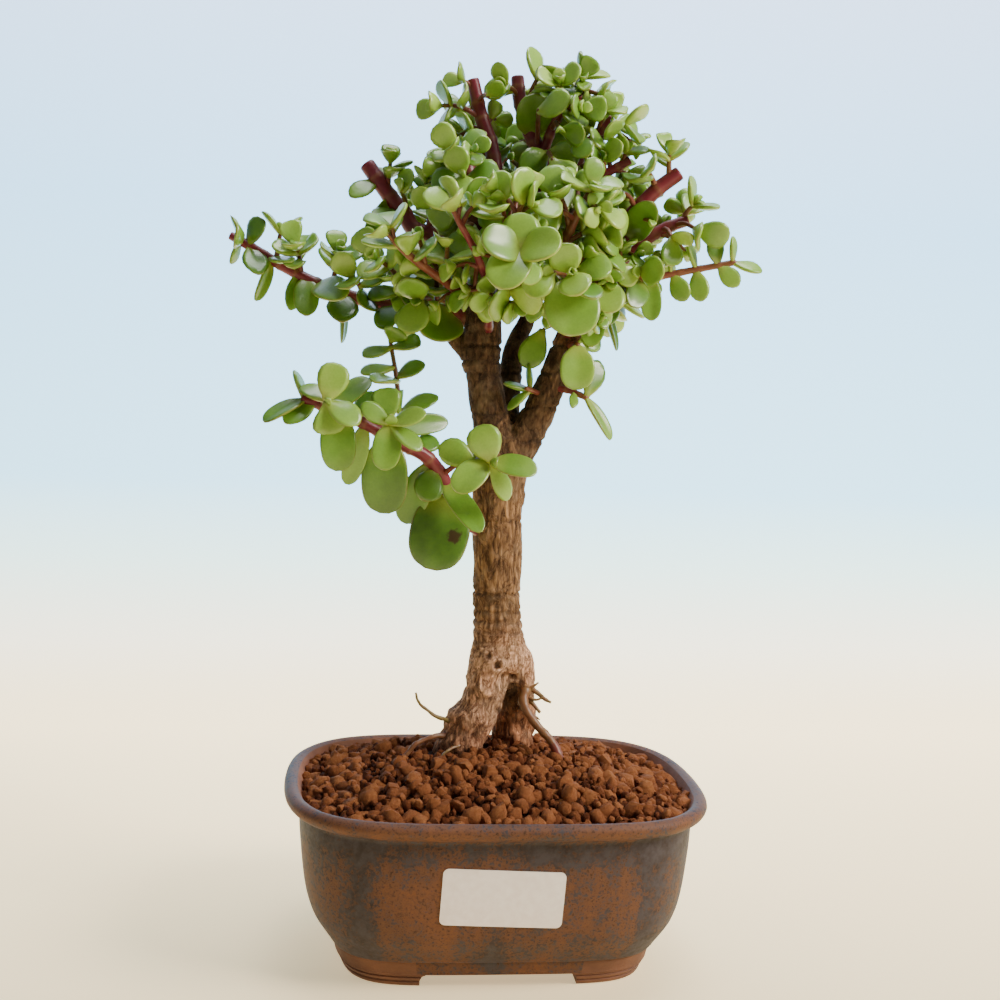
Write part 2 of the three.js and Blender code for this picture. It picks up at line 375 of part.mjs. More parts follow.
// ---------------------------------------------------------------- where every stem and leaf goes
// A point at a share of a polyline's length, with the direction there.
function along(points, share) {
  const steps = points.slice(1).map((p, i) => length(sub(p, points[i])));
  let rest = share * steps.reduce((a, b) => a + b, 0);
  let i = 0;
  while (i < steps.length - 1 && rest > steps[i]) rest -= steps[i++];
  const step = sub(points[i + 1], points[i]);
  return { at: add(points[i], scale(step, rest / steps[i])), dir: unit(step) };
}

const distanceToSegment = (p, a, b) => {
  const ab = sub(b, a);
  const t = Math.min(1, Math.max(0, dot(sub(p, a), ab) / dot(ab, ab)));
  return length(sub(p, add(a, scale(ab, t))));
};

// A leaf: base on the stem's axis, unit direction, length, width, and the upper face's normal.
function leafAt(node, stem, base, tip, width, face) {
  const dir = unit(sub(tip, base));
  const up = unit(sub(face, scale(dir, dot(face, dir))));
  const thick = Math.min(LEAF_THICKEST, Math.max(LEAF_THINNEST, width * LEAF_THICKNESS));
  const long = length(sub(tip, base));
  return { node, stem, base, dir, up, side: cross(dir, up), long, wide: width, thick };
}

// Points that stand for a leaf's blade, past its narrow base.
function probes(leaf) {
  const half = leaf.wide / 2;
  const at = (a, b) => add(leaf.base, add(scale(leaf.dir, a * leaf.long), scale(leaf.side, b * half)));
  return [at(0.38, 0), at(0.7, 0), at(1, 0), at(0.38, 0.6), at(0.38, -0.6), at(0.66, 1), at(0.66, -1),
    at(0.9, 0.65), at(0.9, -0.65), at(0.7, 0.5), at(0.7, -0.5)];
}

const insideBlade = (p, leaf, clear) => {
  const d = sub(p, leaf.base);
  const a = (dot(d, leaf.dir) - leaf.long * 0.53) / (leaf.long * 0.5 + clear);
  const b = dot(d, leaf.side) / (leaf.wide * 0.5 + clear);
  const c = dot(d, leaf.up) / (leaf.thick * 0.5 + clear);
  return a * a + b * b + c * c < 1;
};

const clearOf = (leaf, other) => {
  if (other.node !== leaf.node) return LEAF_CLEAR;
  return other.stem === leaf.stem ? SHOOT_CLEAR : OWN_CLEAR;
};

// True when a leaf crosses no other leaf and no stem but its own.
function leafIsFree(leaf, leaves, stems) {
  leaf.probes = probes(leaf);
  leaf.middle = leaf.probes[1];
  for (const other of leaves) {
    if (length(sub(leaf.middle, other.middle)) > (leaf.long + other.long) * 0.62 + 2) continue;
    const clear = clearOf(leaf, other);
    if (leaf.probes.some((p) => insideBlade(p, other, clear))) return false;
    if (other.probes.some((p) => insideBlade(p, leaf, clear))) return false;
  }
  for (const stem of stems) {
    if (stem === leaf.stem || stem === leaf.stem.parent || stem.parent === leaf.stem) continue;
    for (let i = 1; i < stem.points.length; i++) {
      const [a, b] = [stem.points[i - 1], stem.points[i]];
      if (distanceToSegment(leaf.middle, a, b) > stem.thick + leaf.long) continue;
      const near = stem.thick + STEM_CLEAR + leaf.thick * 0.3;
      if (leaf.probes.some((p) => distanceToSegment(p, a, b) < near)) return false;
      for (let k = 0; k <= 4; k++) {
        if (insideBlade(mix(a, b, k / 4), leaf, stem.thick + STEM_CLEAR)) return false;
      }
    }
  }
  return true;
}

// The shoot's direction at a share of its length, and the two ways square to it that its four
// sides face: its leaf pairs stand on these sides by turns.
function frameAt(shoot, share) {
  const { at, dir } = along(shoot.points, share);
  const e1 = unit(sub(shoot.facing, scale(dir, dot(shoot.facing, dir))));
  return { at, dir, e1, e2: cross(dir, e1) };
}

// A pair of leaves across a shoot; each may be turned, raised or made smaller until it is free.
const TRIES = [[0, 0, 1], [14, 10, 1], [-14, -10, 1], [0, 20, 0.92], [28, 0, 0.86], [-28, 10, 0.8],
  [0, 12, 0.68]];
const STEEPEST = 60;
function addPair(plan, shoot, share, quarter, rise, long, draw) {
  const { at, dir: axis, e1, e2 } = frameAt(shoot, share);
  const pair = { share, leaves: [] };
  for (const side of [quarter, quarter + 2]) {
    const [r1, r2, r3, r4] = [draw(), draw(), draw(), draw()];
    for (const [turned, raised, size] of TRIES) {
      const phi = radians(90 * side + turned + (r1 - 0.5) * 16);
      const tilt = radians(Math.min(STEEPEST, rise + raised + (r2 - 0.5) * 14));
      const out = add(scale(e1, Math.cos(phi)), scale(e2, Math.sin(phi)));
      const dir = add(scale(out, Math.cos(tilt)), scale(axis, Math.sin(tilt)));
      const face = add(scale(axis, Math.cos(tilt)), scale(out, -Math.sin(tilt)));
      const reach = long * size * (0.93 + 0.14 * r3);
      const width = reach * (ROUNDNESS[0] + ROUNDNESS[1] * r4);
      const leaf = leafAt(shoot.node, shoot, at, add(at, scale(dir, reach)), width, face);
      if (leafIsFree(leaf, plan.leaves, plan.stems)) {
        plan.leaves.push(leaf);
        pair.leaves.push([side % 4, leaf]);
        break;
      }
    }
  }
  shoot.pairs.unshift(pair);
}

// Side shoots leave their stem towards their tip with a slight bow upwards.
function shootFrom(stem, share, tip) {
  const { at } = along(stem.points, share);
  const bow = scale(UP, length(sub(tip, at)) * SHOOT_BOW);
  return sprout(stem, [at, add(mix(at, tip, 0.5), bow), tip]);
}
function sprout(stem, points) {
  const [thick] = SHOOT_RADIUS;
  return { node: stem.node, points, radii: SHOOT_RADIUS, thick, pairs: [], parent: stem };
}

const LEAF_RISE = [16, 40]; // degrees from square to the shoot, first pair and last pair
const TAPER = 0.12; // how much shorter a shoot's last leaves are
const FULLNESS = 1.16; // the leaves on shoots over their listed length, which fills the crown
function dressShoot(plan, { shoot, pairs, long, turn, first }, draw) {
  const { dir } = along(shoot.points, first);
  const e1 = unit(cross(dir, Math.abs(dir[2]) > 0.85 ? [1, 0, 0] : UP));
  shoot.facing = add(scale(e1, Math.cos(radians(turn))), scale(cross(dir, e1), Math.sin(radians(turn))));
  for (let k = pairs - 1; k >= (pairs > 2 ? 1 : 0); k--) {
    const t = pairs === 1 ? 1 : k / (pairs - 1);
    const share = first + (LAST_PAIR - first) * t;
    addPair(plan, shoot, share, k % 2, mix1(LEAF_RISE, t), FULLNESS * long * (1 - TAPER * t), draw);
  }
}
const mix1 = ([a, b], t) => a + (b - a) * t;

// The stems at the back carry their shoots by rule: round the stem by the golden angle.
const GOLDEN_ANGLE = 137.5;
const RULE_SHARES = [0.4, 0.62, 0.82];
const RULE_REACH = [11, 16];
const RULE_PAIRS = 2;
const RULE_LEAF = 11;

// Where a leaf set by itself may move to, and how far it may shrink, to clear its neighbours.
const NUDGES = [[[0, 0, 0], 1], [[0, -4, 0], 1], [[0, 4, 0], 1], [[0, -8, 0], 0.95], [[2, 0, 2], 0.9],
  [[-2, 0, -2], 0.9], [[0, -6, 3], 0.85], [[0, 6, -3], 0.85], [[0, 0, 0], 0.7]];

function growPlan() {
  const plan = { stems: [], leaves: [] };
  const draw = chance(PLANT_SEED);
  const named = {};
  for (const rows of Object.values(WOOD)) {
    const points = rows.map((p) => p.slice(0, 3));
    for (let i = 1; i < rows.length; i++) {
      const thick = Math.max(rows[i - 1][3], rows[i][3]);
      plan.stems.push({ node: "trunk", points: [points[i - 1], points[i]], thick });
    }
  }
  for (const [name, node, from, to, points] of STEMS) {
    named[name] = { node, name, points, radii: [from, to], thick: from };
    plan.stems.push(named[name]);
  }
  const dress = [];
  const counts = {};
  for (const [name, share, tip, pairs, long, turn] of SHOOTS) {
    const shoot = shootFrom(named[name], share, tip);
    counts[name] = (counts[name] ?? 0) + 1;
    named[`${name}_${counts[name]}`] = shoot;
    plan.stems.push(shoot);
    dress.push({ shoot, pairs, long, turn, first: pairs > 3 ? 0.3 : 0.5 });
  }
  let turned = 0;
  for (const name of RULED_STEMS) {
    const stem = named[name];
    for (const share of RULE_SHARES) {
      turned += GOLDEN_ANGLE;
      const { at, dir } = along(stem.points, share);
      const e1 = unit(cross(dir, UP));
      const e2 = cross(dir, e1);
      const phi = radians(turned);
      const out = add(scale(e1, Math.cos(phi)), scale(e2, Math.sin(phi)));
      const way = unit(add(add(scale(out, 0.85), scale(dir, 0.45)), scale(UP, 0.3)));
      const shoot = shootFrom(stem, share, add(at, scale(way, mix1(RULE_REACH, draw()))));
      plan.stems.push(shoot);
      dress.push({ shoot, pairs: RULE_PAIRS, long: RULE_LEAF, turn: 60 * draw(), first: 0.45 });
    }
  }
  for (const [name, pairs, long, turn] of TIPS) {
    const end = along(named[name].points, 1);
    const reach = scale(end.dir, TIP_REACH);
    const shoot = sprout(named[name], [sub(end.at, end.dir), end.at, add(end.at, reach)]);
    plan.stems.push(shoot);
    dress.push({ shoot, pairs, long, turn, first: 0.45 });
  }
  // The leaves placed one by one come first, then the pairs on the shoots.
  for (const [name, share, tip, width, face] of LEAVES) {
    const stem = named[name];
    const foot = along(stem.points, share).at;
    for (const [moved, size] of NUDGES) {
      const leaf = leafAt(stem.node, stem, foot, add(mix(foot, tip, size), moved), width * size, face);
      if (leafIsFree(leaf, plan.leaves, plan.stems)) {
        plan.leaves.push({ ...leaf, alone: true });
        break;
      }
    }
  }
  for (const job of dress) dressShoot(plan, job, draw);
  return plan;
}

// ---------------------------------------------------------------- solids
// A closed skin through rings of points, with both ends closed by a fan.
function loft(rings) {
  const n = rings[0].length;
  const middle = (ring) => scale(ring.reduce(add), 1 / n);
  const points = [...rings.flat(), middle(rings[0]), middle(rings[rings.length - 1])];
  const faces = [];
  for (let r = 1; r < rings.length; r++) {
    for (let i = 0; i < n; i++) {
      const [a, b] = [(r - 1) * n + i, (r - 1) * n + ((i + 1) % n)];
      faces.push([a, b, b + n], [a, b + n, a + n]);
    }
  }
  const last = (rings.length - 1) * n;
  for (let i = 0; i < n; i++) {
    faces.push([rings.length * n, (i + 1) % n, i], [rings.length * n + 1, last + i, last + ((i + 1) % n)]);
  }
  return { points, faces };
}

function solid({ points, faces }) {
  const made = new wasm.Manifold(new wasm.Mesh({
    numProp: 3,
    vertProperties: new Float32Array(points.flat()),
    triVerts: new Uint32Array(faces.flat()),
  }));
  return made.volume() < 0 ? solid({ points, faces: faces.map(([a, b, c]) => [a, c, b]) }) : made;
}

// A three.js geometry's surface as a solid.
function solidOf(geometry) {
  const bare = geometry.clone();
  bare.deleteAttribute("normal");
  bare.deleteAttribute("uv");
  const merged = mergeVertices(bare, 1e-3);
  return new wasm.Manifold(new wasm.Mesh({
    numProp: 3,
    vertProperties: new Float32Array(merged.attributes.position.array),
    triVerts: new Uint32Array(merged.index.array),
  }));
}

// The largest body of a solid: crumbs cut loose by a neighbour are dropped.
function largestBody(made) {
  return made.decompose().sort((a, b) => b.volume() - a.volume())[0];
}

function meshOf(name, made, material) {
  const mesh = made.getMesh();
  const geometry = new THREE.BufferGeometry();
  geometry.setAttribute("position", new THREE.BufferAttribute(new Float32Array(mesh.vertProperties), 3));
  geometry.setIndex(new THREE.BufferAttribute(new Uint32Array(mesh.triVerts), 1));
  const flat = geometry.toNonIndexed();
  flat.computeVertexNormals();
  const piece = new THREE.Mesh(flat, material);
  piece.name = name;
  return piece;
}

// A tapering tube along points, each with its radius; `shape` may push a ring's points in or out.
function tube(points, radii, sides, shape = () => 1) {
  const rings = [];
  let e1 = null;
  points.forEach((p, i) => {
    const back = points[Math.max(0, i - 1)];
    const ahead = points[Math.min(points.length - 1, i + 1)];
    const axis = unit(sub(ahead, back));
    const hint = e1 || (Math.abs(axis[2]) > 0.85 ? [1, 0, 0] : UP);
    e1 = unit(sub(hint, scale(axis, dot(hint, axis))));
    const e2 = cross(axis, e1);
    rings.push(Array.from({ length: sides }, (_, k) => {
      const a = (2 * Math.PI * k) / sides;
      const r = radii[i] * shape(a, i);
      return add(p, add(scale(e1, r * Math.cos(a)), scale(e2, r * Math.sin(a))));
    }));
  });
  return solid(loft(rings));
}

// ---------------------------------------------------------------- pot, screens, soil, sticker
// How far out a point of the pot's plan lies: 1 on the outline that is `inset` inside the rim's.
// The sides and the corners' slants are joined softly by a power sum.
function outlineShare(x, y, inset) {
  const [alongX, alongY] = [POT_HALF_DEPTH - POT_CORNER[1], POT_HALF_LENGTH - POT_CORNER[0]];
  const slant = (u, v) => (u * alongX + v * alongY) / Math.hypot(alongX, alongY);
  return [
    Math.abs(x) / (POT_HALF_LENGTH - inset),
    Math.abs(y) / (POT_HALF_DEPTH - inset),
    slant(Math.abs(x), Math.abs(y)) / (slant(POT_CORNER[0], POT_HALF_DEPTH) - inset),
  ].reduce((sum, share) => sum + share ** POT_CRISPNESS, 0) ** (1 / POT_CRISPNESS);
}
function ringAt(height, inset, sides = POT_SIDES) {
  return Array.from({ length: sides }, (_, k) => {
    const t = (2 * Math.PI * (k + 0.5)) / sides;
    const [x, y] = [(POT_HALF_LENGTH - inset) * Math.cos(t), (POT_HALF_DEPTH - inset) * Math.sin(t)];
    const share = outlineShare(x, y, inset);
    return [x / share, y / share, height];
  });
}

const boxSolid = (size, at) => solidOf(new THREE.BoxGeometry(...size).translate(...at));
const ROD_SIDES = 20;
const rod = (radius, height, at) => solidOf(
  new THREE.CylinderGeometry(radius, radius, height, ROD_SIDES).rotateX(Math.PI / 2).translate(...at));

function makePot() {
  const rings = [...POT_OUTSIDE, ...POT_INSIDE].map(([height, inset]) => ringAt(height, inset));
  let pot = solid(loft(rings));
  const feet = solid(loft(FOOT_OUTSIDE.map(([height, inset]) => ringAt(height, inset))))
    .subtract(solid(loft([ringAt(-1, FOOT_INNER), ringAt(FOOT_TOP + 1, FOOT_INNER)])))
    .subtract(boxSolid([FOOT_GAP[0], THROUGH, 3 * FOOT_TOP], [0, 0, 0]))
    .subtract(boxSolid([THROUGH, FOOT_GAP[1], 3 * FOOT_TOP], [0, 0, 0]));
  pot = pot.add(feet);
  for (const x of [-DRAIN_X, DRAIN_X]) pot = pot.subtract(rod(DRAIN_RADIUS, THROUGH, [x, 0, 0]));
  return pot;
}

function makeScreen(x) {
  const z = POT_INSIDE[POT_INSIDE.length - 1][0] + GAP + SCREEN_THICKNESS / 2;
  const pitch = SCREEN_SIZE / SCREEN_HOLES;
  let screen = boxSolid([SCREEN_SIZE, SCREEN_SIZE, SCREEN_THICKNESS], [x, 0, z]);
  for (let i = 0; i < SCREEN_HOLES; i++) {
    for (let j = 0; j < SCREEN_HOLES; j++) {
      const [u, v] = [(i + 0.5) * pitch - SCREEN_SIZE / 2, (j + 0.5) * pitch - SCREEN_SIZE / 2];
      screen = screen.subtract(boxSolid([SCREEN_HOLE, SCREEN_HOLE, 3 * SCREEN_THICKNESS], [x + u, v, z]));
    }
  }
  return screen;
}

// The soil's top is a jittered net whose knots stand up as granules; the pot's inside trims it.
function makeSoil(trunkRoom, screens) {
  const draw = chance(SOIL_SEED);
  const [nx, ny] = [POT_HALF_LENGTH, POT_HALF_DEPTH].map((half) => 2 * Math.ceil(half / SOIL_GRAIN) + 1);
  const top = [];
  for (let j = 0; j < ny; j++) {
    for (let i = 0; i < nx; i++) {
      const edge = i === 0 || j === 0 || i === nx - 1 || j === ny - 1;
      const jitter = edge ? 0 : 0.55 * SOIL_GRAIN;
      const x = (i - (nx - 1) / 2 + (j % 2 ? 0.25 : -0.25)) * SOIL_GRAIN + (draw() - 0.5) * jitter;
      const y = (j - (ny - 1) / 2) * SOIL_GRAIN + (draw() - 0.5) * jitter;
      const mound = Math.max(0, 1 - Math.abs(x / SOIL_REACH[0]) ** 2.2)
        * Math.max(0, 1 - Math.abs(y / SOIL_REACH[1]) ** 3);
      top.push([x, y, SOIL_EDGE_HEIGHT + SOIL_MOUND * mound + (draw() - 0.5) * 2 * SOIL_RELIEF]);
    }
  }
  const rim = [];
  for (let i = 0; i < nx; i++) rim.push(i);
  for (let j = 1; j < ny; j++) rim.push(j * nx + nx - 1);
  for (let i = nx - 2; i >= 0; i--) rim.push((ny - 1) * nx + i);
  for (let j = ny - 2; j > 0; j--) rim.push(j * nx);
  const points = [...top, ...rim.map((k) => [top[k][0], top[k][1], 5]), [0, 0, 5]];
  const faces = [];
  for (let j = 1; j < ny; j++) {
    for (let i = 1; i < nx; i++) {
      const [a, b, c, d] = [(j - 1) * nx + i - 1, (j - 1) * nx + i, j * nx + i, j * nx + i - 1];
      if (j % 2) faces.push([a, b, d], [b, c, d]);
      else faces.push([a, b, c], [a, c, d]);
    }
  }
  const low = top.length;
  rim.forEach((k, m) => {
    const next = (m + 1) % rim.length;
    faces.push([k, low + m, low + next], [k, low + next, rim[next]]);
    faces.push([low + m, points.length - 1, low + next]);
  });
  const inside = [...POT_INSIDE].reverse().map(([height, inset]) => ringAt(height, inset + GAP));
  const [floor, floorInset] = POT_INSIDE[POT_INSIDE.length - 1];
  inside[0] = ringAt(floor + GAP, floorInset + GAP);
  inside.push(ringAt(80, POT_INSIDE[1][1] + GAP));
  let soil = solid({ points, faces }).intersect(solid(loft(inside))).subtract(trunkRoom);
  for (const x of screens) {
    const height = SCREEN_THICKNESS + 3 * GAP;
    const width = SCREEN_SIZE + 2 * GAP;
    soil = soil.subtract(boxSolid([width, width, height], [x, 0, floor + height / 2]));
  }
  return largestBody(soil);
}

// The sticker follows the front wall: each point of its outline is set on the wall's surface.
function wallInset(height) {
  let i = 1;
  while (i < POT_OUTSIDE.length - 1 && POT_OUTSIDE[i][0] < height) i++;
  const [[z0, i0], [z1, i1]] = [POT_OUTSIDE[i - 1], POT_OUTSIDE[i]];
  return i0 + ((i1 - i0) * (height - z0)) / (z1 - z0);
}
const HALVINGS = 30;
function wallDepth(x, height) {
  let [near, far] = [0, -POT_HALF_DEPTH];
  for (let i = 0; i < HALVINGS; i++) {
    const y = (near + far) / 2;
    if (outlineShare(x, y, wallInset(height)) > 1) far = y;
    else near = y;
  }
  return near;
}
function makeLabel() {
  const [w, h] = [LABEL_SIZE[0] / 2, LABEL_SIZE[1] / 2];
  const columns = 4;
  const across = [-w, -w + LABEL_CORNER * 0.3, -w + LABEL_CORNER];
  const straight = w - LABEL_CORNER;
  for (let i = 1; i < columns; i++) across.push(-straight + (2 * straight * i) / columns);
  across.push(w - LABEL_CORNER, w - LABEL_CORNER * 0.3, w);
  const turn = radians(LABEL_TURN);
  const place = (u, v, out) => {
    const x = LABEL_CENTRE[0] + u * Math.cos(turn) - v * Math.sin(turn);
    const z = LABEL_CENTRE[1] + u * Math.sin(turn) + v * Math.cos(turn);
    return [x, wallDepth(x, z) - LABEL_GAP - out, z];
  };
  const rows = [-1, -0.65, 0.28, 1];
  const halfHeight = (u) => {
    const past = Math.max(0, Math.abs(u) - (w - LABEL_CORNER));
    return h - LABEL_CORNER + Math.sqrt(Math.max(0, LABEL_CORNER ** 2 - past ** 2));
  };
  const rings = across.map((u) => [
    ...rows.map((r) => place(u, r * halfHeight(u), LABEL_THICKNESS)),
    ...[...rows].reverse().map((r) => place(u, r * halfHeight(u), 0)),
  ]);
  return solid(loft(rings));
}

// ---------------------------------------------------------------- the plant
function woodSolid(extra, sidesOf) {
  const tubes = Object.entries(WOOD).map(([name, tubePoints]) => {
    const sides = sidesOf(tubePoints[0][3]);
    const furrow = (a, i) => 1 + (tubePoints[0][3] > 5 ? 0.035 * Math.sin(5 * a + 1.7 * i) : 0);
    return tube(tubePoints.map((p) => p.slice(0, 3)), tubePoints.map((p) => p[3] + extra), sides, furrow);
  });
  return tubes.reduce((a, b) => a.add(b)).simplify(2 * SMOOTHED);
}
const woodSides = (r) => (r > 6 ? 9 : r > 1.9 ? 6 : 4);

// One leaf as a closed blade of 14 faces: a seven-point outline, a crown above and below.
function leafSolid(leaf) {
  const back = 0.6 * leaf.stem.thick;
  const at = (a, b, c) => [[leaf.dir, a], [leaf.side, b], [leaf.up, c]]
    .reduce((p, [way, far]) => add(p, scale(way, far)), leaf.base);
  const half = leaf.wide / 2;
  const right = LEAF_OUTLINE.map(([a, b]) => at(a * leaf.long, b * half, 0));
  const left = LEAF_OUTLINE.map(([a, b]) => at(a * leaf.long, -b * half, 0)).reverse();
  const rim = [at(-back, 0, 0), ...right, ...left];
  const crown = LEAF_CROWN * leaf.long;
  const points = [...rim, at(crown, 0, leaf.thick * 0.4), at(crown, 0, -leaf.thick * 0.6)];
  const n = rim.length;
  const faces = rim.flatMap((_, i) => [[i, (i + 1) % n, n], [(i + 1) % n, i, n + 1]]);
  return solid({ points, faces });
}

function stemSolid(stem) {
  const n = stem.points.length;
  const radii = stem.points.map((_, i) => mix1(stem.radii, i / (n - 1)));
  return tube(stem.points, radii, STEM_SIDES);
}

// A side shoot as one skin: a square tube whose sides are drawn out into the leaves of each pair.
function shootSolid(shoot) {
  const total = shoot.points.slice(1).reduce((sum, p, i) => sum + length(sub(p, shoot.points[i])), 0);
  const points = [];
  const faces = [];
  const put = (p) => points.push(p) - 1;
  const ring = (share) => {
    const { at, e1, e2 } = frameAt(shoot, Math.min(1, share));
    const r = mix1(shoot.radii, Math.min(1, share));
    return [-45, 45, 135, 225].map((d) => put(add(at,
      add(scale(e1, r * Math.cos(radians(d))), scale(e2, r * Math.sin(radians(d)))))));
  };
  let last = ring(0);
  faces.push([last[0], last[2], last[1]], [last[0], last[3], last[2]]);
  const walls = (next, leaves) => {
    for (let j = 0; j < 4; j++) {
      const corners = [last[j], last[(j + 1) % 4], next[(j + 1) % 4], next[j]];
      const found = leaves.find(([side]) => side === j);
      if (found) drawOut(found[1], corners, put, faces);
      else faces.push([corners[0], corners[1], corners[2]], [corners[0], corners[2], corners[3]]);
    }
    last = next;
  };
  for (const pair of shoot.pairs) {
    if (!pair.leaves.length) continue;
    walls(ring(pair.share - NECK / total), []);
    walls(ring(pair.share + NECK / total), pair.leaves);
  }
  if (!shoot.pairs.at(-1)?.leaves.length) walls(ring(1), []);
  faces.push([last[0], last[1], last[2]], [last[0], last[2], last[3]]);
  return solid({ points, faces });
}

// Draws a wall's four corners out into a leaf with a blunt two-point tip. A small leaf is flat
// below and has one loop of three points; a large one has two loops of four.
function drawOut(leaf, [a, b, c, d], put, faces) {
  const at = (t, w, h) => put(add(leaf.base, add(scale(leaf.dir, t * leaf.long),
    add(scale(leaf.side, w * leaf.wide * 0.5), scale(leaf.up, h * leaf.thick)))));
  const [tipL, tipR] = [at(LEAF_TIP[0], -LEAF_TIP[1], 0), at(LEAF_TIP[0], LEAF_TIP[1], 0)];
  if (leaf.long < LARGE_LEAF) {
    const [t, w, h] = SMALL_LOOP;
    const [left, up, right] = [at(t, -w, -0.3 * h), at(t, 0, 0.6 * h), at(t, w, -0.3 * h)];
    faces.push([a, b, left], [b, c, left], [c, up, left], [c, d, up], [d, right, up], [d, a, right],
      [a, left, right], [left, up, tipL], [up, tipR, tipL], [up, right, tipR], [right, left, tipL],
      [right, tipL, tipR]);
    return;
  }
  const [near, far] = LARGE_LOOPS.map(([t, w, h]) =>
    [at(t, 0, -0.6 * h), at(t, -w, 0), at(t, 0, 0.4 * h), at(t, w, 0)]);
  const [down, left, up, right] = near;
  faces.push([a, b, down], [b, left, down], [b, c, left], [c, up, left], [c, d, up], [d, right, up],
    [d, a, right], [a, down, right]);
  for (let i = 0; i < 4; i++) {
    const next = (i + 1) % 4;
    faces.push([near[i], near[next], far[next]], [near[i], far[next], far[i]]);
  }
  const [D, L, U, R] = far;
  faces.push([L, U, tipL], [U, tipR, tipL], [U, R, tipR], [R, D, tipR], [D, tipL, tipR], [D, L, tipL]);
}

function makeSprays(plan, trunkRoom, material) {
  const nodes = [...new Set(STEMS.map(([, node]) => node))];
  const built = new Map();
  for (const node of nodes) {
    const own = plan.stems.filter((s) => s.node === node && s.radii);
    const stems = own.filter((s) => !s.pairs).map(stemSolid).reduce((a, b) => a.add(b));
    const shoots = own.filter((s) => s.pairs).map(shootSolid);
    const single = plan.leaves.filter((l) => l.node === node && l.alone).map(leafSolid);
    const whole = [...shoots, ...single].reduce((a, b) => a.add(b), largestBody(stems.subtract(trunkRoom)));
    built.set(node, largestBody(whole.simplify(SMOOTHED)));
  }
  return nodes.map((node) => meshOf(node, built.get(node), material));
}

// ---------------------------------------------------------------- the model
const finish = (color, roughness) => new THREE.MeshStandardMaterial({ color, roughness, metalness: 0 });
const trunkRoom = woodSolid(GAP, woodSides);
const bonsai = new THREE.Group();
bonsai.add(meshOf("pot", makePot(), finish("#7c4a2a", 0.45)));
bonsai.add(meshOf("drain_screen_left", makeScreen(-DRAIN_X), finish("#2b2b2b", 0.6)));
bonsai.add(meshOf("drain_screen_right", makeScreen(DRAIN_X), finish("#2b2b2b", 0.6)));
bonsai.add(meshOf("soil", makeSoil(trunkRoom, [-DRAIN_X, DRAIN_X]), finish("#7b3f1d", 0.95)));
bonsai.add(meshOf("label", makeLabel(), finish("#efe6e4", 0.5)));
bonsai.add(meshOf("trunk", woodSolid(0, woodSides), finish("#86694c", 0.85)));
bonsai.add(...makeSprays(growPlan(), trunkRoom, finish("#7fa63f", 0.35)));

// The group stands with its bounding box centred on the origin, its feet on the ground.
const box = new THREE.Box3().setFromObject(bonsai);
bonsai.position.set(-(box.min.x + box.max.x) / 2, -(box.min.y + box.max.y) / 2, 0);

export default bonsai;
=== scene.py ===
"""A dwarf jade bonsai in its glazed stoneware pot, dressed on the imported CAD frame.

Lengths in the tables are millimetres in the table frame: its origin lies on the ground under the
middle of the pot, +X along the pot's long side, +Y to the back and +Z up.
"""

import json
from functools import partial
from math import copysign, cos, exp, hypot, pi, radians, sin, sqrt

import bmesh
import bpy
import numpy as np
from bpy.props import FloatProperty, FloatVectorProperty, IntProperty, PointerProperty
from bpy.types import Operator, Panel, PropertyGroup
from mathutils import Matrix, Vector, noise

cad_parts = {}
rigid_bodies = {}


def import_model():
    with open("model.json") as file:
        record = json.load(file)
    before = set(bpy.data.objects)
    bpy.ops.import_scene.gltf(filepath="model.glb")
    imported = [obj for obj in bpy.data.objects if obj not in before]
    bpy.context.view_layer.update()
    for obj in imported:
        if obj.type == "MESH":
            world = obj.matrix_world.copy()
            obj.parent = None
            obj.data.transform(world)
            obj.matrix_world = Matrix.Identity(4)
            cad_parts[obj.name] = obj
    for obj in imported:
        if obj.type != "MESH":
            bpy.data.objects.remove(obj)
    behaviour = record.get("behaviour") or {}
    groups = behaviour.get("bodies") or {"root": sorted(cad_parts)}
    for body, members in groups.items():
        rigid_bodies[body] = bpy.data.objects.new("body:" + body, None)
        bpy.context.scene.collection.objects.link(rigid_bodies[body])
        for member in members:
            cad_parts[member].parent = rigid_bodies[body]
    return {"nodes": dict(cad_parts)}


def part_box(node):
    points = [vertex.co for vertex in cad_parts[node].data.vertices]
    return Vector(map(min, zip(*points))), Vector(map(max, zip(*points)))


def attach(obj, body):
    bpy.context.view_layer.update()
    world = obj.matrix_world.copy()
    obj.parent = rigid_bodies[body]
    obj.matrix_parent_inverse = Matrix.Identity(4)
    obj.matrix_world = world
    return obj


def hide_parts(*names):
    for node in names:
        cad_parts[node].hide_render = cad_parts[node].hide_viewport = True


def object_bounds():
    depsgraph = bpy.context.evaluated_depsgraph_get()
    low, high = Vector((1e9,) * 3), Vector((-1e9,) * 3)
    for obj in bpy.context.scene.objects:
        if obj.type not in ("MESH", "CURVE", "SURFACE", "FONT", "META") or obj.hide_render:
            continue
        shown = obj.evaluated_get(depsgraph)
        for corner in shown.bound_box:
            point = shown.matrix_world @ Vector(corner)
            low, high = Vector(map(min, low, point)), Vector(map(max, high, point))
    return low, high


bl_info = {
    "name": "Dwarf Jade Bonsai",
    "version": (1, 0, 0),
    "blender": (4, 5, 0),
    "location": "View3D > Sidebar > Jade Bonsai",
    "description": "Builds a dwarf jade bonsai and its pot around a packed CAD frame",
    "category": "Object",
}

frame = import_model()
CAD_BOX = [list(corner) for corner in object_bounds()]

MM = 0.001
POT_MIDDLE = tuple((low + high) / 2 for low, high in zip(*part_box("pot")))[:2]
# Seeds of the draws for the plan, the stems, the leaves, the thin roots and the first clay lump.
PLANT_SEED, STEM_SEED, LEAF_SEED, ROOT_SEED, LUMP_SEED = 14, 29, 17, 13, 3

# ---------------- the plant's framework


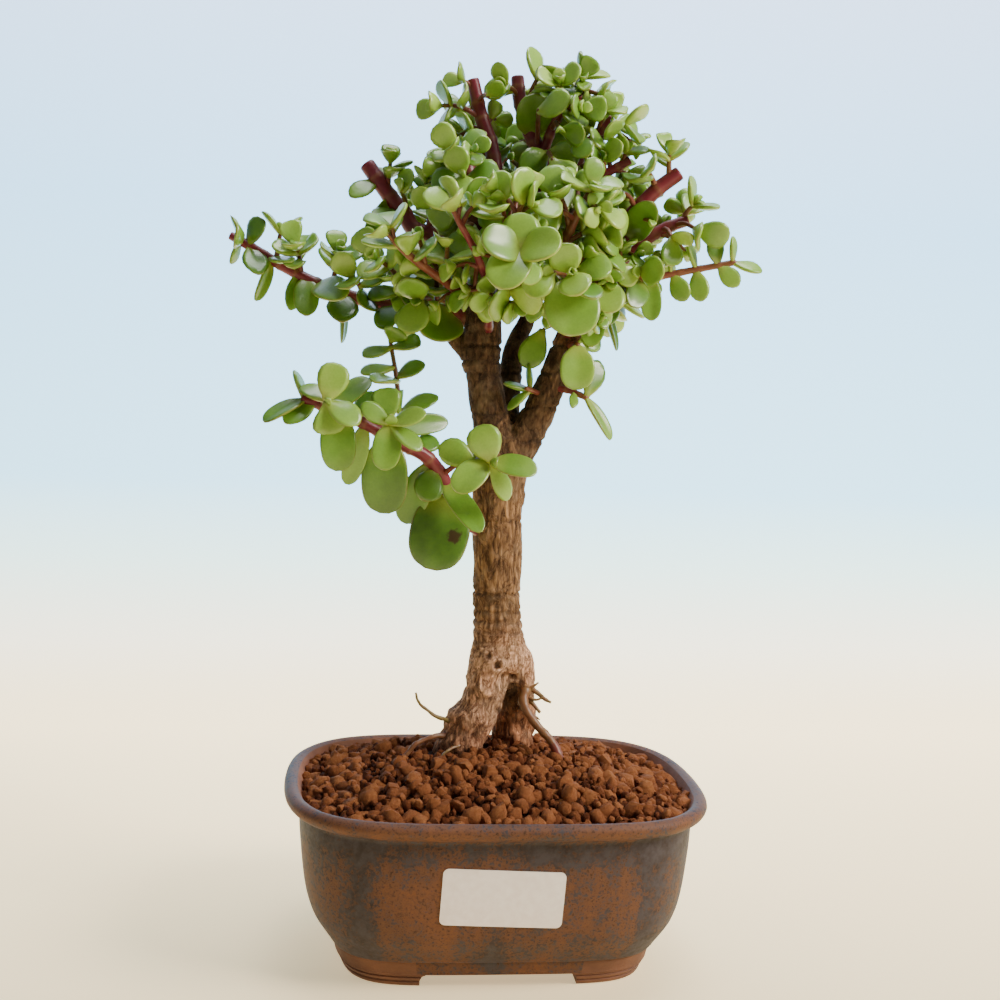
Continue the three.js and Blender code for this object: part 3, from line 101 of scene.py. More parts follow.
def table(text):
    """Reads blocks that end in a semicolon: a name, then rows of numbers parted by commas."""
    blocks = []
    for block in text.split(";")[:-1]:
        name, numbers = block.split(None, 1)
        blocks.append((name, [[float(n) for n in row.split()] for row in numbers.split(",")]))
    return blocks


# The woody piece: x, y, z and radius of each point along each trunk, limb and root.
WOOD = dict(table("""
trunk 2.4 10.5 96 5, 2.4 10 98.5 9, 2.4 10 102 10.2, 2 10 105.5 9.8, 1 10 111 9.1, 0.5 10 118 8.6,
0 10 124.5 8.6, 0 10 137.5 8.9, -1 10 152 9.1, -0.5 10 164 9.6, 0 10 174.5 10.4, 0.5 10 182 9.6;
left_limb -2 9 177 8, -4 9 186 6.9, -6 9 195 6.5, -7.5 9 204 6.4, -8.5 9 208 7.1, -8.5 9 214 7,
-8.5 9 224 6.6, -8 10 229 5.4, -7 11 234 4.4, -6 12 236.5 3.8;
right_limb 3.5 9 174.5 7.5, 7.5 8 181.5 6.6, 12.5 8 191 5.8, 16.5 7 201.5 5.4, 19.5 6 210.5 5.2,
21 6 215.5 5, 22.5 6 220.5 4.3, 25 7 226 3.8, 27 7 230 3.3, 28.5 7 232.5 3;
middle_limb 0.5 14 184 6.5, 2 18 195 5, 3.5 22 206 4.2, 5.5 26 215 3.8, 9.5 29 224 3.2, 12 30 230 2.7;
left_spur -10 9 208 4, -15 9 213 3.2, -19 10 216.5 2.6, -21.5 11 218.5 2.2;
left_leg 1.5 10 112 7.2, -0.2 8.8 105 8.2, -2 7.5 98 7.8, -3.1 7 90.5 7.3, -5.1 7.2 84 7.1,
-7.9 7.8 77.5 8.2, -10.9 8.8 71 8.7, -13.2 10 58 8.6;
back_leg 4 12 100 8, 7.4 15 92 7.4, 9.6 18 84 7, 9.9 19.5 77.5 7.4, 9.2 20.5 71 8.2, 8.8 21.5 56 8.4;
right_hip 4.5 10 110 5.5, 7.4 10 104 5.8, 9.8 9.5 99 5, 11.2 9 95 4.1, 12.2 8.5 90.5 3.4, 12 7.5 87.5 2.4;
front_root 11.8 7 91 2.2, 10.6 4.5 88 1.9, 11.7 2 84 1.5, 15.5 0 79 1.5, 20.5 -2 73.7 1.6, 23 -4 69 1.6,
24.8 -5 64.5 1.6, 26.2 -5 57 1.5;
low_root -13 8 74 1.8, -18.5 5 74 1.1, -23 3 73.5 0.9, -28 1.5 71.5 0.8, -32 0.5 66.5 0.8, -33.5 0 61 0.8;
upturned_root -11.5 7 77 1.4, -16.7 5.5 79.4 0.8, -20 3 81.2 0.7, -23.2 2 83 0.6, -27 1 86.7 0.5,
-28.6 0 90.5 0.4;
right_rootlet 12 8 91 1.4, 15 7 90.3 0.9, 17.5 6 88.3 0.8, 20.8 5 86.6 0.5;
lower_rootlet 11.5 7 88.5 1.5, 13.8 5.8 86.5 0.9, 16.8 4.3 82.8 0.5;
"""))
# Leafy stems: base and tip radius, then the points. A fork belongs to the node of its stem.
STEMS = dict(table("""
low_left 2.6 1.5, -5.5 9 148, -16 1 154, -18 -2 159.5, -23 -6 169, -29 -9 175.5, -39 -12 180, -49 -15 185.5,
-64 -19 191.5, -70.5 -20 193.5;
left_long 2.9 1.5, -11.5 10 222.5, -23.5 12 225.5, -35.5 13 226.5, -50.5 15 228.5, -66.5 17 233.5,
-80.5 19 240, -93 21 247, -98 22 249.5;
left_front 1.9 1, -12 6 228.5, -18 -3 231.5, -23.5 -10 234.5, -31 -16 238.5, -37.5 -21 242.5, -42 -25 246;
left_cut 2.4 2.1, -7.5 14 232.5, -16 18 244, -24 19 252.5, -33 20 254.5, -37 21 260, -43 22 267,
-50.5 24 277;
top_thick 3 2.8, -8.5 8 233, -11.5 5 250.5, -15 3 265.5, -17 2 278.5;
top_left 2.3 1.7, -7 11 232.5, -4.5 13 250, -4 17 266.5, -6.5 18 284, -10.5 19 295, -14 20 308;
top_mid 2.5 1.9, -4 12 230.5, 2 18 250.5, 9 22 269.5, 12.5 22 281, 7.5 23 291.5, 3.5 24 303, 2.5 25 311;
top_mid_fork 1.8 1.6, 12 22 282, 15 18 293, 20 16 302, 25 15 307;
top_right 2.3 1.9, 20.5 9 221.5, 20 16 241.5, 21 15 258.5, 22 14 272.5, 24.5 12 283, 29.5 10 288.5,
35 8 295;
top_right_fork 1.7 1.5, 22.5 14 271.5, 27 8 273.5, 32 5 275.5, 40.5 3 280.5;
right_front 1.9 1.4, 24 4 225.5, 18 -8 237, 15.5 -15 248.5, 17 -18 253, 19 -20 258, 22.5 -22 264.5;
right_cut 2.6 2.1, 27.5 9 230, 33 9 239, 39.5 7 245.5, 40.5 4 253.5, 41.5 2 260.5, 45.5 0 265.5,
50 -1 270.5, 57 -2 276;
right_cut_fork 2.1 2.1, 39.5 6 246, 47.5 3 253, 53 2 257, 61.5 1 260.5;
right_long 1.6 1.1, 26.5 5 229, 31 2 233.5, 36.5 0 237, 48.5 -2 239.5, 64 -4 243, 77.5 -6 246;
front_low 1.7 1.1, -5.5 4 228.5, -4 -12 234, -2.5 -27 239.5, -2 -38 243.5;
front_high 1.6 1, -7.5 3 232.5, -6.5 -10 242, -4.5 -22 251, -2 -31 257;
front_right 1.6 1.1, 21 3 218.5, 21 -10 227.5, 19 -22 233.5, 16.5 -31 237;
front_left 1.6 1, -7 3 219.5, -9 -12 231.5, -14.5 -23 243, -22 -31 253.5;
crotch 1 0.8, 14.5 8 196.5, 10 2 198.5, 6.5 -2 199.5;
limb_spur 1.2 1, 18 4 200, 23 0 199, 27.5 -3 197;
limb_leaf 1.3 1.2, 21 4 214.5, 23 -1 215.5, 23.5 -4 215;
back_mid 2 1.3, 11.5 30 229, 16.5 42 248, 19 50 267.5, 20 54 281.5;
back_left_low 1.8 1.2, -8 16 220, -14 34 224.5, -21.5 48 231, -27 58 236;
back_left 1.8 1.2, -12 13 225, -15.5 32 243.5, -18.5 46 259.5, -22.5 52 271;
back_top 1.9 1.2, -5.5 15.5 228, -1 33 250, 0 42 273.5, -0.5 46 288.5;
back_right_low 1.7 1.2, 22.5 10 217.5, 35.5 32 226, 43 46 233, 50.5 56 238.5;
back_right 1.8 1.2, 26 11.5 227, 38.5 32 245, 44.5 44 259.5, 49 52 270;
back_top_right 1.8 1.2, 18.5 11 208, 23.5 24 225.5, 31 33 249.5, 33.5 40 269, 34.5 44 283;
"""))
# Side shoots of each stem: place along it, tip, leaf pairs, leaf length, turn of the first pair.
SHOOTS = table("""
low_left 0.92 -62.5 -28 193 0 0 0, 0.65 -41.5 -23 186 0 0 0, 0.36 -7 -24 174.5 0 0 0,
0.57 -41.5 -6 213.5 0 0 0;
left_long 0.8 -80.5 18 251.5 1 9 90, 0.69 -74.5 12 246 3 9 0, 0.56 -60 9 244.5 3 9 20,
0.43 -55 4 235.5 2 10 10, 0.24 -47 -4 242 4 10.5 40, 0.15 -26 2 238.5 2 14 20, 0.15 -32 -6 228.5 1 13 80;
left_front 1 -43 -27 250.5 2 9 0, 0.66 -33.5 -22 247 2 10 40, 0.43 -24 -18 246.5 2 12 60;
left_cut 0.81 -42.5 20 278.5 3 7.5 0, 0.61 -38.5 14 267 2 8 40, 0.47 -30 13 271.5 4 7.5 20,
0.41 -23 16 276.5 4 8 60;
top_thick 0.76 -19 -8 270.5 2 10 10, 0.57 -12 -18 260 2 10 30, 0.94 -21.5 -4 280.5 2 9 50,
0.39 -18 -16 253 2 11 80;
top_left 0.82 -26.5 14 297.5 3 9 10, 0.74 -22.5 10 285 3 9 45, 0.95 -18 18 307.5 1 8 20,
0.9 -9.5 8 300.5 1 7.5 70, 0.56 -8.5 2 272.5 2 9.5 20;
top_mid 0.91 -2.5 18 306.5 2 9 10, 0.84 9 18 310.5 3 10 30, 0.63 12.5 -2 278.5 2 12 35,
0.69 8 6 296.5 1 13 0, 0.48 -1 4 278.5 2 10.5 10;
top_mid_fork 0.59 15.5 8 306.5 3 9 20, 0.77 25 13 310.5 2 9 10, 0.86 30 8 303.5 2 9 50,
0.46 22 2 297.5 2 10 80, 0.39 14.5 -2 288.5 1 10 0;
top_right 0.89 31.5 4 297 3 9 30, 0.95 39 4 293 2 9 0, 0.85 32.5 -2 286.5 2 9.5 40,
0.8 21.5 0 286.5 2 9.5 30, 0.68 26 0 278 2 10.5 60;
top_right_fork 0.59 30 -2 279.5 1 9.5 20, 0.89 39 2 283 2 8 10;
right_front 1 23 -24 267 2 9.5 0, 0.85 25.5 -26 260.5 2 10 30, 0.73 12.5 -24 263.5 3 10.5 10,
0.62 29 -20 253 3 10.5 40, 0.47 27.5 -16 247 2 11 20;
right_cut 0.93 53 -4 283 3 8 20, 0.84 44 -8 276 2 10 60, 0.73 52 -10 265 2 10 30, 0.67 36 -8 268 2 9.5 0,
0.55 45 -14 258 2 11 45, 0.48 31.5 -12 258.5 2 10.5 15;
right_cut_fork 0.92 63 -2 265.5 2 9.5 20, 0.67 54.5 -8 253 1 10 70, 0.81 63 -8 256.5 1 10.5 0;
right_long 0.25 33.5 -12 237 1 12 80, 0.41 43.5 -10 241 1 11 0;
front_right 0.71 15.5 -36 237.5 2 11 20, 0.71 9.5 -34 237.5 1 10.5 60;
front_low 0.38 -2.5 -18 231.5 1 12 10, 0.53 4 -20 231.5 1 12 50;
front_high 0.38 -14.5 -20 246.5 2 10.5 30, 0.73 -8 -30 258.5 2 10.5 0, 0.73 2 -32 259 2 10 60,
0.91 -2 -22 266 2 11 20;
front_left 0.65 -14 -12 232 1 12 20, 1 -21 -30 257.5 2 10.5 20;
top_mid 0.35 -5.5 -2 272 2 11 25, 0.28 7 -16 252 2 11 50;
top_right 0.37 16 0 260 2 11 20, 0.48 28 2 262.5 2 11 60, 0.28 10.5 -14 242.5 1 12 20;
right_front 0.81 6.5 -30 257 2 11 70;
top_thick 0.65 -26 -8 260.5 2 10.5 40;
left_cut 0.33 -26.5 4 250 2 11 70;
front_right 0.55 11 -22 232.5 1 13 30, 0.55 28 -14 236 1 13 60;
""")
# Leaves set one by one on a stem or shoot: place along it, tip, width, the way the upper face looks.
LEAVES = table("""
low_left_1 1 -59.3 -27 204.9 10 0.1 -1 0.35, 1 -52.1 -31 186.3 9 0.3 -1 0.5,
0.97 -61.4 -32 182.7 9.8 0 -1 0.7, 0.8 -70.1 -20 197.4 7.5 -0.2 -0.5 1;
low_left 0.88 -49 -14 200.6 8 0.1 -0.7 1, 0.99 -71.6 -17 205.4 8.5 1 -0.35 0,
0.99 -82.1 -25 186.4 7 0.1 -0.35 1, 0.95 -75.3 -29 185.6 8 -0.2 -0.8 0.6,
0.86 -57.7 -20 170.8 11.2 0 -1 0.1;
low_left_2 1 -43.3 -20 197.2 9.3 -0.1 -1 0.4, 1 -50.6 -22 192.2 6.3 -0.5 -0.9 0.5,
1 -30.2 -26 190.1 7.1 0.2 -0.9 0.7, 0.97 -31.5 -27 178.2 6.9 0.5 -1 0.5, 0.97 -42.9 -27 171.9 9 0 -1 0.5;
low_left 0.78 -47.2 -13 196 8 -0.3 -0.6 1, 0.7 -21.9 -6 186.9 7.2 0.2 -1 0.2,
0.5 -25.1 -4 180.9 7.5 0.3 -0.9 0.8, 0.64 -42.1 -12 156.4 15 -0.2 -1 0.1,
0.74 -54.6 -12 165.7 7.1 0.25 -1 0.35, 0.43 -34.7 -3 152.2 9.9 -0.2 -1 0.05,
0.28 -25 -9 137.3 19.3 0 -1 0.12, 0.4 -28.7 -14 161.2 10.1 0.2 -1 0.3, 0.33 -10.2 -20 151.8 8.2 0.3 -1 0.15;
low_left_3 1 -11.5 -24 186.2 11.2 -0.3 -1 0.45, 1 7.2 -27 172.6 7.9 0.2 -1 0.6,
0.97 -1.1 -20 162.3 7.1 0.4 -1 0.2, 0.9 -18.7 -28 165.6 10 -0.2 -1 0.6, 0.7 -23.9 -17 178.6 9.4 -0.3 -1 0.3,
0.85 -11.5 -12 180.5 6 0.6 -0.9 0.2;
low_left_4 1 -39.2 -8 218.3 8.3 0.2 -1 0.3, 0.95 -50.2 -10 208.2 8 0 -0.45 1,
0.95 -31.5 -8 212.7 8.5 0.1 -0.7 1, 0.75 -50.8 -10 202.5 8 -0.3 -0.6 1, 0.62 -46.6 -18 200.5 8 0 -0.6 1,
0.65 -30 -8 206.3 8 0.2 -0.6 1, 0.3 -40.3 -15 194.9 9 -0.1 -0.8 0.8, 0.3 -25.3 -6 195.3 8 0.1 -0.6 1;
left_long 0.93 -87 16 254.5 9 -0.3 -0.8 0.5, 0.96 -94 8 251 11 -0.2 -1 0.2, 0.92 -87.5 12 236 9 0.3 -1 0.1,
0.82 -88 15 227.5 5 0.8 -0.6 0.1, 0.96 -98 20 240 4.5 1 -0.4 0, 0.83 -76.5 8 240 7.5 0 -0.5 1,
0.71 -76.5 14 224.5 6.5 0.5 -1 0, 0.67 -70.5 8 223 8.5 0 -1 0.1, 0.62 -58.5 2 229 11 -0.1 -1 0.5,
0.51 -58.5 6 220.5 11 0 -1 0.1, 0.52 -57.5 17 214 5 1 -0.3 0, 0.33 -43 0 219 9 -0.3 -1 0.2,
0.4 -51.5 0 227 9 0.2 -1 0.3, 0.07 -29.5 -4 218 15 0 -1 0.35, 0.04 -22.5 4 216.5 8 0.2 -0.5 -1,
0.17 -37 -2 229.5 9 0 -1 0.6;
left_front 0.77 -28.5 -28 245.5 9 -0.2 -0.7 0.7, 0.93 -52 -22 245.5 7 0 -0.6 1,
0.85 -36.5 -30 246.5 9 0 -0.8 0.6;
left_cut 0.9 -56 18 265 7.5 0 -0.8 0.6, 0.78 -50 18 253.5 5.5 0.7 -0.7 0.1, 0.67 -48 12 258 7 0 -0.7 0.8;
top_mid 0.75 8 10 302.5 12.5 0 -1 0.1;
right_cut 0.41 43 -14 239 14 0 -1 0.2, 0.48 45 -16 262.5 10 0.1 -1 0.3;
right_front 0.49 30 -14 244 10 0 -0.6 0.9;
right_long 0.6 55.5 -4 251 5.5 0.8 -0.6 0, 0.61 61 -5 232.5 7 -0.5 -0.9 0.2,
0.76 61 -4 252 5.5 0.8 -0.6 0.1, 0.76 66.5 -6 232.5 7 -0.4 -1 0.1, 0.9 69 -6 253.5 7 0.3 -1 0.1,
0.9 78.5 -8 238 6.5 -0.5 -0.8 0.4, 0.99 76 -7 254.5 5.5 0.8 -0.6 0.1, 0.99 86.5 -8 243 6.5 -0.1 -0.6 0.8,
0.47 49 -6 225.5 7 -0.2 -1 0, 0.41 40.5 -12 230 9 0.3 -1 0.1, 0.5 49 -10 244.5 8 0.3 -1 0.1,
0.23 32.5 -8 223.5 8 0.1 -1 0, 0.14 38.5 0 215 5 0.9 -0.5 0.2, 0.13 28 4 215 9 -0.2 -1 0,
0.28 37 -12 230 9 0 -1 0.3;
front_low 1 -2 -38 255 12 0 -1 0.25, 1 -14 -42 246 11.5 -0.1 -1 0.35, 1 -9 -46 232 13 -0.1 -0.9 0.6,
1 8.5 -44 245.5 12 0.2 -1 0.4, 0.94 2 -40 233 9 0.2 -1 0.2;
front_right 0.94 15.5 -36 218.5 17.5 0 -1 0.1, 0.84 21.5 -42 230 10 0.1 -0.7 0.8;
limb_leaf 1 23.5 -6 200.5 11.5 0 -1 0.15, 1 32 6 217.5 8 0 -1 0.15;
limb_spur 1 32 -3 209.5 8 0.3 -1 0, 1 36.5 -5 183.5 5.5 0.8 -0.8 0.3, 0.6 22 -8 193.5 3.5 0 -1 0;
crotch 0.51 -1 -2 200.5 4.5 0.1 -0.5 1, 0.8 1 0 192 4.5 -0.1 -0.5 1, 0.8 7.5 4 208 5 1 -0.3 0;
back_mid 0.01 11.5 24 207.5 10 0.1 -1 0, 0.01 0.5 28 217 6.5 0 -0.6 1;
""")
# Leaf pairs at the tips of the stems themselves: pairs, leaf length, turn.
TIPS = table("""
left_front 2 8.5 30;
front_high 2 10.5 20;
front_left 2 10 70;
back_mid 2 9 20;
back_left_low 2 9.5 10;
back_left 2 9 50;
back_top 2 8.5 30;
back_right_low 2 9.5 0;
back_right 2 9 40;
back_top_right 2 8.5 70;
""")
RULED_STEMS = [name for name, _ in TIPS[3:]]

# ---------------- vectors, chance and placing


def plus(a, b):
    return (a[0] + b[0], a[1] + b[1], a[2] + b[2])


def minus(a, b):
    return (a[0] - b[0], a[1] - b[1], a[2] - b[2])


def times(a, k):
    return (a[0] * k, a[1] * k, a[2] * k)


def dot(a, b):
    return a[0] * b[0] + a[1] * b[1] + a[2] * b[2]


def cross(a, b):
    return (a[1] * b[2] - a[2] * b[1], a[2] * b[0] - a[0] * b[2], a[0] * b[1] - a[1] * b[0])


def length(a):
    return sqrt(dot(a, a))


def unit(a):
    return times(a, 1 / length(a))


def mix(a, b, t):
    return plus(times(a, 1 - t), times(b, t))


def between(pair, t):
    return pair[0] + (pair[1] - pair[0]) * t


def clamp(x):
    return min(1.0, max(0.0, x))


def square_to(a, axis):
    """The part of a direction that is square to an axis, made 1 long."""
    return unit(minus(a, times(axis, dot(a, axis))))


def towards(a, b, angle):
    """The direction at an angle from a on the way to b, which is square to it."""
    return plus(times(a, cos(angle)), times(b, sin(angle)))


def chance(seed):
    """A seeded draw from 0 to 1, the same in every run."""
    state = [seed]

    # A linear congruential step over 32 bits.
    def draw():
        state[0] = (state[0] * 1664525 + 1013904223) % 4294967296
        return state[0] / 4294967296

    return draw


def row_frame(point):
    """A table-frame point in millimetres as a row-frame point in metres."""
    return (point[0] * MM + POT_MIDDLE[0], point[1] * MM + POT_MIDDLE[1], point[2] * MM)


# ---------------- where every stem and leaf goes

UP = (0.0, 0.0, 1.0)
# Room in mm between a leaf and those of another node, of its own node and of its own shoot, and a stem.
LEAF_CLEAR, OWN_CLEAR, SHOOT_CLEAR, STEM_CLEAR = 0.6, 0.15, 0.1, 0.4
# A leaf's thickness: least and most in mm, and its share of the width between them.
LEAF_THICK, LEAF_THICK_SHARE = (1.5, 2.6), 0.2
# A side shoot's radii, how far it bows up, where its last pair sits, and how far a stem's tip grows on.
SHOOT_RADII, SHOOT_BOW, LAST_PAIR, TIP_REACH = (1.0, 0.7), 0.12, 0.95, 4
# How far leaves rise from square, in degrees, at a shoot's first and last pair, and at most.
LEAF_RISE, STEEPEST = (16, 40), 60
# How much shorter the last pair is, how much longer every leaf is, and a leaf's width: least, spread.
TAPER, FULLNESS, ROUNDNESS = 0.12, 1.16, (0.8, 0.16)
# What a pair tries until it is free: turned, raised, size; and a single leaf: moved, size.
TRIES = [(0, 0, 1), (14, 10, 1), (-14, -10, 1), (0, 20, 0.92), (28, 0, 0.86), (-28, 10, 0.8), (0, 12, 0.68)]
NUDGES = [
    ((0, 0, 0), 1), ((0, -4, 0), 1), ((0, 4, 0), 1), ((0, -8, 0), 0.95), ((2, 0, 2), 0.9),
    ((-2, 0, -2), 0.9), ((0, -6, 3), 0.85), ((0, 6, -3), 0.85), ((0, 0, 0), 0.7),
]
# The side shoots of the ruled stems: the turn from one to the next, places, reach, pairs, leaf length.
GOLDEN_ANGLE = 137.5
RULE_SHARES, RULE_REACH, RULE_PAIRS, RULE_LEAF = (0.4, 0.62, 0.82), (11, 16), 2, 11


def along(points, share):
    """The point at a share of a polyline's length, and the direction there."""
    steps = [length(minus(b, a)) for a, b in zip(points, points[1:])]
    rest = share * sum(steps)
    i = 0
    while i < len(steps) - 1 and rest > steps[i]:
        rest -= steps[i]
        i += 1
    step = minus(points[i + 1], points[i])
    return plus(points[i], times(step, rest / steps[i])), unit(step)


def distance_to_segment(p, a, b):
    ab = minus(b, a)
    return length(minus(p, plus(a, times(ab, clamp(dot(minus(p, a), ab) / dot(ab, ab))))))


class Stem:
    """A stem, side shoot or stretch of wood: its points and how thick it is."""

    def __init__(self, node, points, radii, parent=None, name=None):
        self.node, self.points, self.radii = node, points, radii
        self.parent, self.name, self.thick = parent, name, max(radii)
        self.facing = None


class Leaf:
    """A leaf: its base on the stem's axis, its direction, size and the way its face looks."""

    def __init__(self, stem, base, tip, width, face):
        self.node, self.stem, self.base, self.alone = stem.node, stem, base, False
        self.long = length(minus(tip, base))
        self.dir = unit(minus(tip, base))
        self.up = square_to(face, self.dir)
        self.side = cross(self.dir, self.up)
        self.wide = width
        self.thick = min(LEAF_THICK[1], max(LEAF_THICK[0], width * LEAF_THICK_SHARE))
        self.probes = [self.at(a, b) for a, b in (
            (0.38, 0), (0.7, 0), (1, 0), (0.38, 0.6), (0.38, -0.6), (0.66, 1), (0.66, -1),
            (0.9, 0.65), (0.9, -0.65), (0.7, 0.5), (0.7, -0.5))]
        self.middle = self.probes[1]

    def at(self, a, b):
        out = times(self.side, b * self.wide * 0.5)
        return plus(self.base, plus(times(self.dir, a * self.long), out))

    def holds(self, p, clear):
        d = minus(p, self.base)
        a = (dot(d, self.dir) - self.long * 0.53) / (self.long * 0.5 + clear)
        b = dot(d, self.side) / (self.wide * 0.5 + clear)
        c = dot(d, self.up) / (self.thick * 0.5 + clear)
        return a * a + b * b + c * c < 1


class Plan:
    """Every stem and leaf that has its place, with arrays that find a new leaf's neighbours."""

    def __init__(self):
        self.stems, self.leaves = [], []
        self.middles, self.reaches = np.zeros((4096, 3)), np.zeros(4096)
        self.segments, self.arrays = [], None

    def add_stem(self, stem):
        self.stems.append(stem)
        self.segments += [(stem, a, b) for a, b in zip(stem.points, stem.points[1:])]
        self.arrays = None
        return stem

    def add_leaf(self, leaf):
        self.middles[len(self.leaves)] = leaf.middle
        self.reaches[len(self.leaves)] = leaf.long
        self.leaves.append(leaf)

    def near_segments(self, leaf):
        if self.arrays is None:
            starts, ends = (np.array([row[i] for row in self.segments]) for i in (1, 2))
            self.arrays = starts, ends - starts, np.array([row[0].thick for row in self.segments])
        starts, ways, thicks = self.arrays
        d = np.array(leaf.middle) - starts
        t = np.clip((d * ways).sum(1) / (ways * ways).sum(1), 0, 1)
        gaps = np.linalg.norm(d - ways * t[:, None], axis=1)
        return [self.segments[i] for i in np.nonzero(gaps <= thicks + leaf.long + 1e-6)[0]]

    def is_free(self, leaf):
        """True when a leaf crosses no other leaf and no stem but its own."""
        n = len(self.leaves)
        gaps = np.linalg.norm(self.middles[:n] - np.array(leaf.middle), axis=1)
        for i in np.nonzero(gaps <= (self.reaches[:n] + leaf.long) * 0.62 + 2)[0]:
            other = self.leaves[i]
            clear = LEAF_CLEAR if other.node != leaf.node else (
                SHOOT_CLEAR if other.stem is leaf.stem else OWN_CLEAR)
            if any(a.holds(p, clear) for a, b in ((other, leaf), (leaf, other)) for p in b.probes):
                return False
        for stem, a, b in self.near_segments(leaf):
            if stem is leaf.stem or stem is leaf.stem.parent or stem.parent is leaf.stem:
                continue
            near = stem.thick + STEM_CLEAR + leaf.thick * 0.3
            if any(distance_to_segment(p, a, b) < near for p in leaf.probes):
                return False
            if any(leaf.holds(mix(a, b, k / 4), stem.thick + STEM_CLEAR) for k in range(5)):
                return False
        return True

    def add_pair(self, shoot, share, quarter, rise, long, draw, tries=TRIES):
        """A pair of leaves across a shoot, each turned, raised or made smaller until it is free."""
        at, axis = along(shoot.points, share)
        e1 = square_to(shoot.facing, axis)
        e2 = cross(axis, e1)
        for side in (quarter, quarter + 2):
            r1, r2, r3, r4 = draw(), draw(), draw(), draw()
            for turned, raised, size in tries:
                phi = radians(90 * side + turned + (r1 - 0.5) * 16)
                tilt = radians(min(STEEPEST, rise + raised + (r2 - 0.5) * 14))
                out = towards(e1, e2, phi)
                way, face = towards(out, axis, tilt), towards(axis, out, -tilt)
                reach = long * size * (0.93 + 0.14 * r3)
                width = reach * (ROUNDNESS[0] + ROUNDNESS[1] * r4)
                leaf = Leaf(shoot, at, plus(at, times(way, reach)), width, face)
                if self.is_free(leaf):
                    self.add_leaf(leaf)
                    break


def shoot_from(stem, share, tip):
    """A side shoot leaves its stem towards its tip with a slight bow upwards."""
    at, _ = along(stem.points, share)
    bow = times(UP, length(minus(tip, at)) * SHOOT_BOW)
    return Stem(stem.node, [at, plus(mix(at, tip, 0.5), bow), tip], SHOOT_RADII, parent=stem)


def face_shoot(shoot, first, turn):
    """Sets the way in which a shoot's first leaf pair looks."""
    _, way = along(shoot.points, first)
    e1 = unit(cross(way, (1, 0, 0) if abs(way[2]) > 0.85 else UP))
    shoot.facing = towards(e1, cross(way, e1), radians(turn))


def dress_shoot(plan, job, draw, outer):
    """Adds the leaf pairs of a shoot: the outer ones, from the tip, or the one left out at its base."""
    shoot, pairs, long, turn, first = job
    if shoot.facing is None:
        face_shoot(shoot, first, turn)
    least = 1 if pairs > 2 else 0
    for k in range(pairs - 1, least - 1, -1) if outer else range(least):
        t = 1 if pairs == 1 else k / (pairs - 1)
        share, leaf_long = first + (LAST_PAIR - first) * t, FULLNESS * long * (1 - TAPER * t)
        plan.add_pair(shoot, share, k % 2, between(LEAF_RISE, t), leaf_long, draw)


def node_of(name):
    return name.removesuffix("_fork")


def plan_of_solids():
    """The stems and leaves of the CAD solids, in the order in which they take their places."""
    plan, draw, named, jobs, counts = Plan(), chance(PLANT_SEED), {}, [], {}
    for rows in WOOD.values():
        for a, b in zip(rows, rows[1:]):
            plan.add_stem(Stem("trunk", [a[:3], b[:3]], (a[3], b[3])))
    for name, (radii, *points) in STEMS.items():
        named[name] = plan.add_stem(Stem(node_of(name), points, radii, name=name))
        named[name].thick = radii[0]
    for name, rows in SHOOTS:
        for share, *tip, pairs, long, turn in rows:
            shoot = plan.add_stem(shoot_from(named[name], share, tip))
            counts[name] = counts.get(name, 0) + 1
            named[f"{name}_{counts[name]}"] = shoot
            jobs.append((shoot, int(pairs), long, turn, 0.3 if pairs > 3 else 0.5))
    turned = 0
    for name in RULED_STEMS:
        for share in RULE_SHARES:
            turned += GOLDEN_ANGLE
            at, way = along(named[name].points, share)
            e1 = unit(cross(way, UP))
            out = towards(e1, cross(way, e1), radians(turned))
            go = unit(plus(plus(times(out, 0.85), times(way, 0.45)), times(UP, 0.3)))
            tip = plus(at, times(go, between(RULE_REACH, draw())))
            shoot = plan.add_stem(shoot_from(named[name], share, tip))
            jobs.append((shoot, RULE_PAIRS, RULE_LEAF, 60 * draw(), 0.45))
    for name, ((pairs, long, turn),) in TIPS:
        end, way = along(named[name].points, 1)
        points = [minus(end, way), end, plus(end, times(way, TIP_REACH))]
        shoot = plan.add_stem(Stem(named[name].node, points, SHOOT_RADII, parent=named[name]))
        jobs.append((shoot, int(pairs), long, turn, 0.45))
    for name, rows in LEAVES:
        for share, x, y, z, width, *face in rows:
            foot, _ = along(named[name].points, share)
            for moved, size in NUDGES:
                tip = plus(mix(foot, (x, y, z), size), moved)
                leaf = Leaf(named[name], foot, tip, width * size, face)
                if plan.is_free(leaf):
                    leaf.alone = True
                    plan.add_leaf(leaf)
                    break
    for job in jobs:
        dress_shoot(plan, job, draw, True)
    return plan, named, jobs


# The scene's own leaves and twigs, which thicken the crown round those of the solids.
CROWN_MIDDLE, CROWN_HALF = (8, 12, 262), (62, 46, 50)
TWIG_REACH, TWIG_RADII = (7, 13), (0.9, 0.6)
BUD_RISE, BUD_TRIES = 62, [(0, 0, 1), (45, 0, 0.8)]
FILL_TRIES = [(0, 0, 1), (18, 10, 0.95), (-18, -8, 0.9), (0, 18, 0.82), (30, 0, 0.74), (-30, 12, 0.66)]
BARE_STEMS = ("low_left", "limb_leaf", "crotch", "left_cut", "limb_spur")
# Stems that get twigs more often than the others, because their leaves hide them.
LEAFY_STEMS = ("front_left", "front_left", "front_high", "front_low", "front_right", "left_front")
# The thick red stems that stay in view, and from which share of their length on.
SHOWN_STEMS = {"left_cut": 0.35, "top_left": 0.55, "top_mid": 0.55, "top_right_fork": 0.5,
               "right_cut": 0.6, "right_cut_fork": 0.5, "low_left": 0.1}
# How far twigs and leaves stay away from a shown stem, in mm as seen.
TWIG_AWAY, LEAF_AWAY = 8.5, 4.6
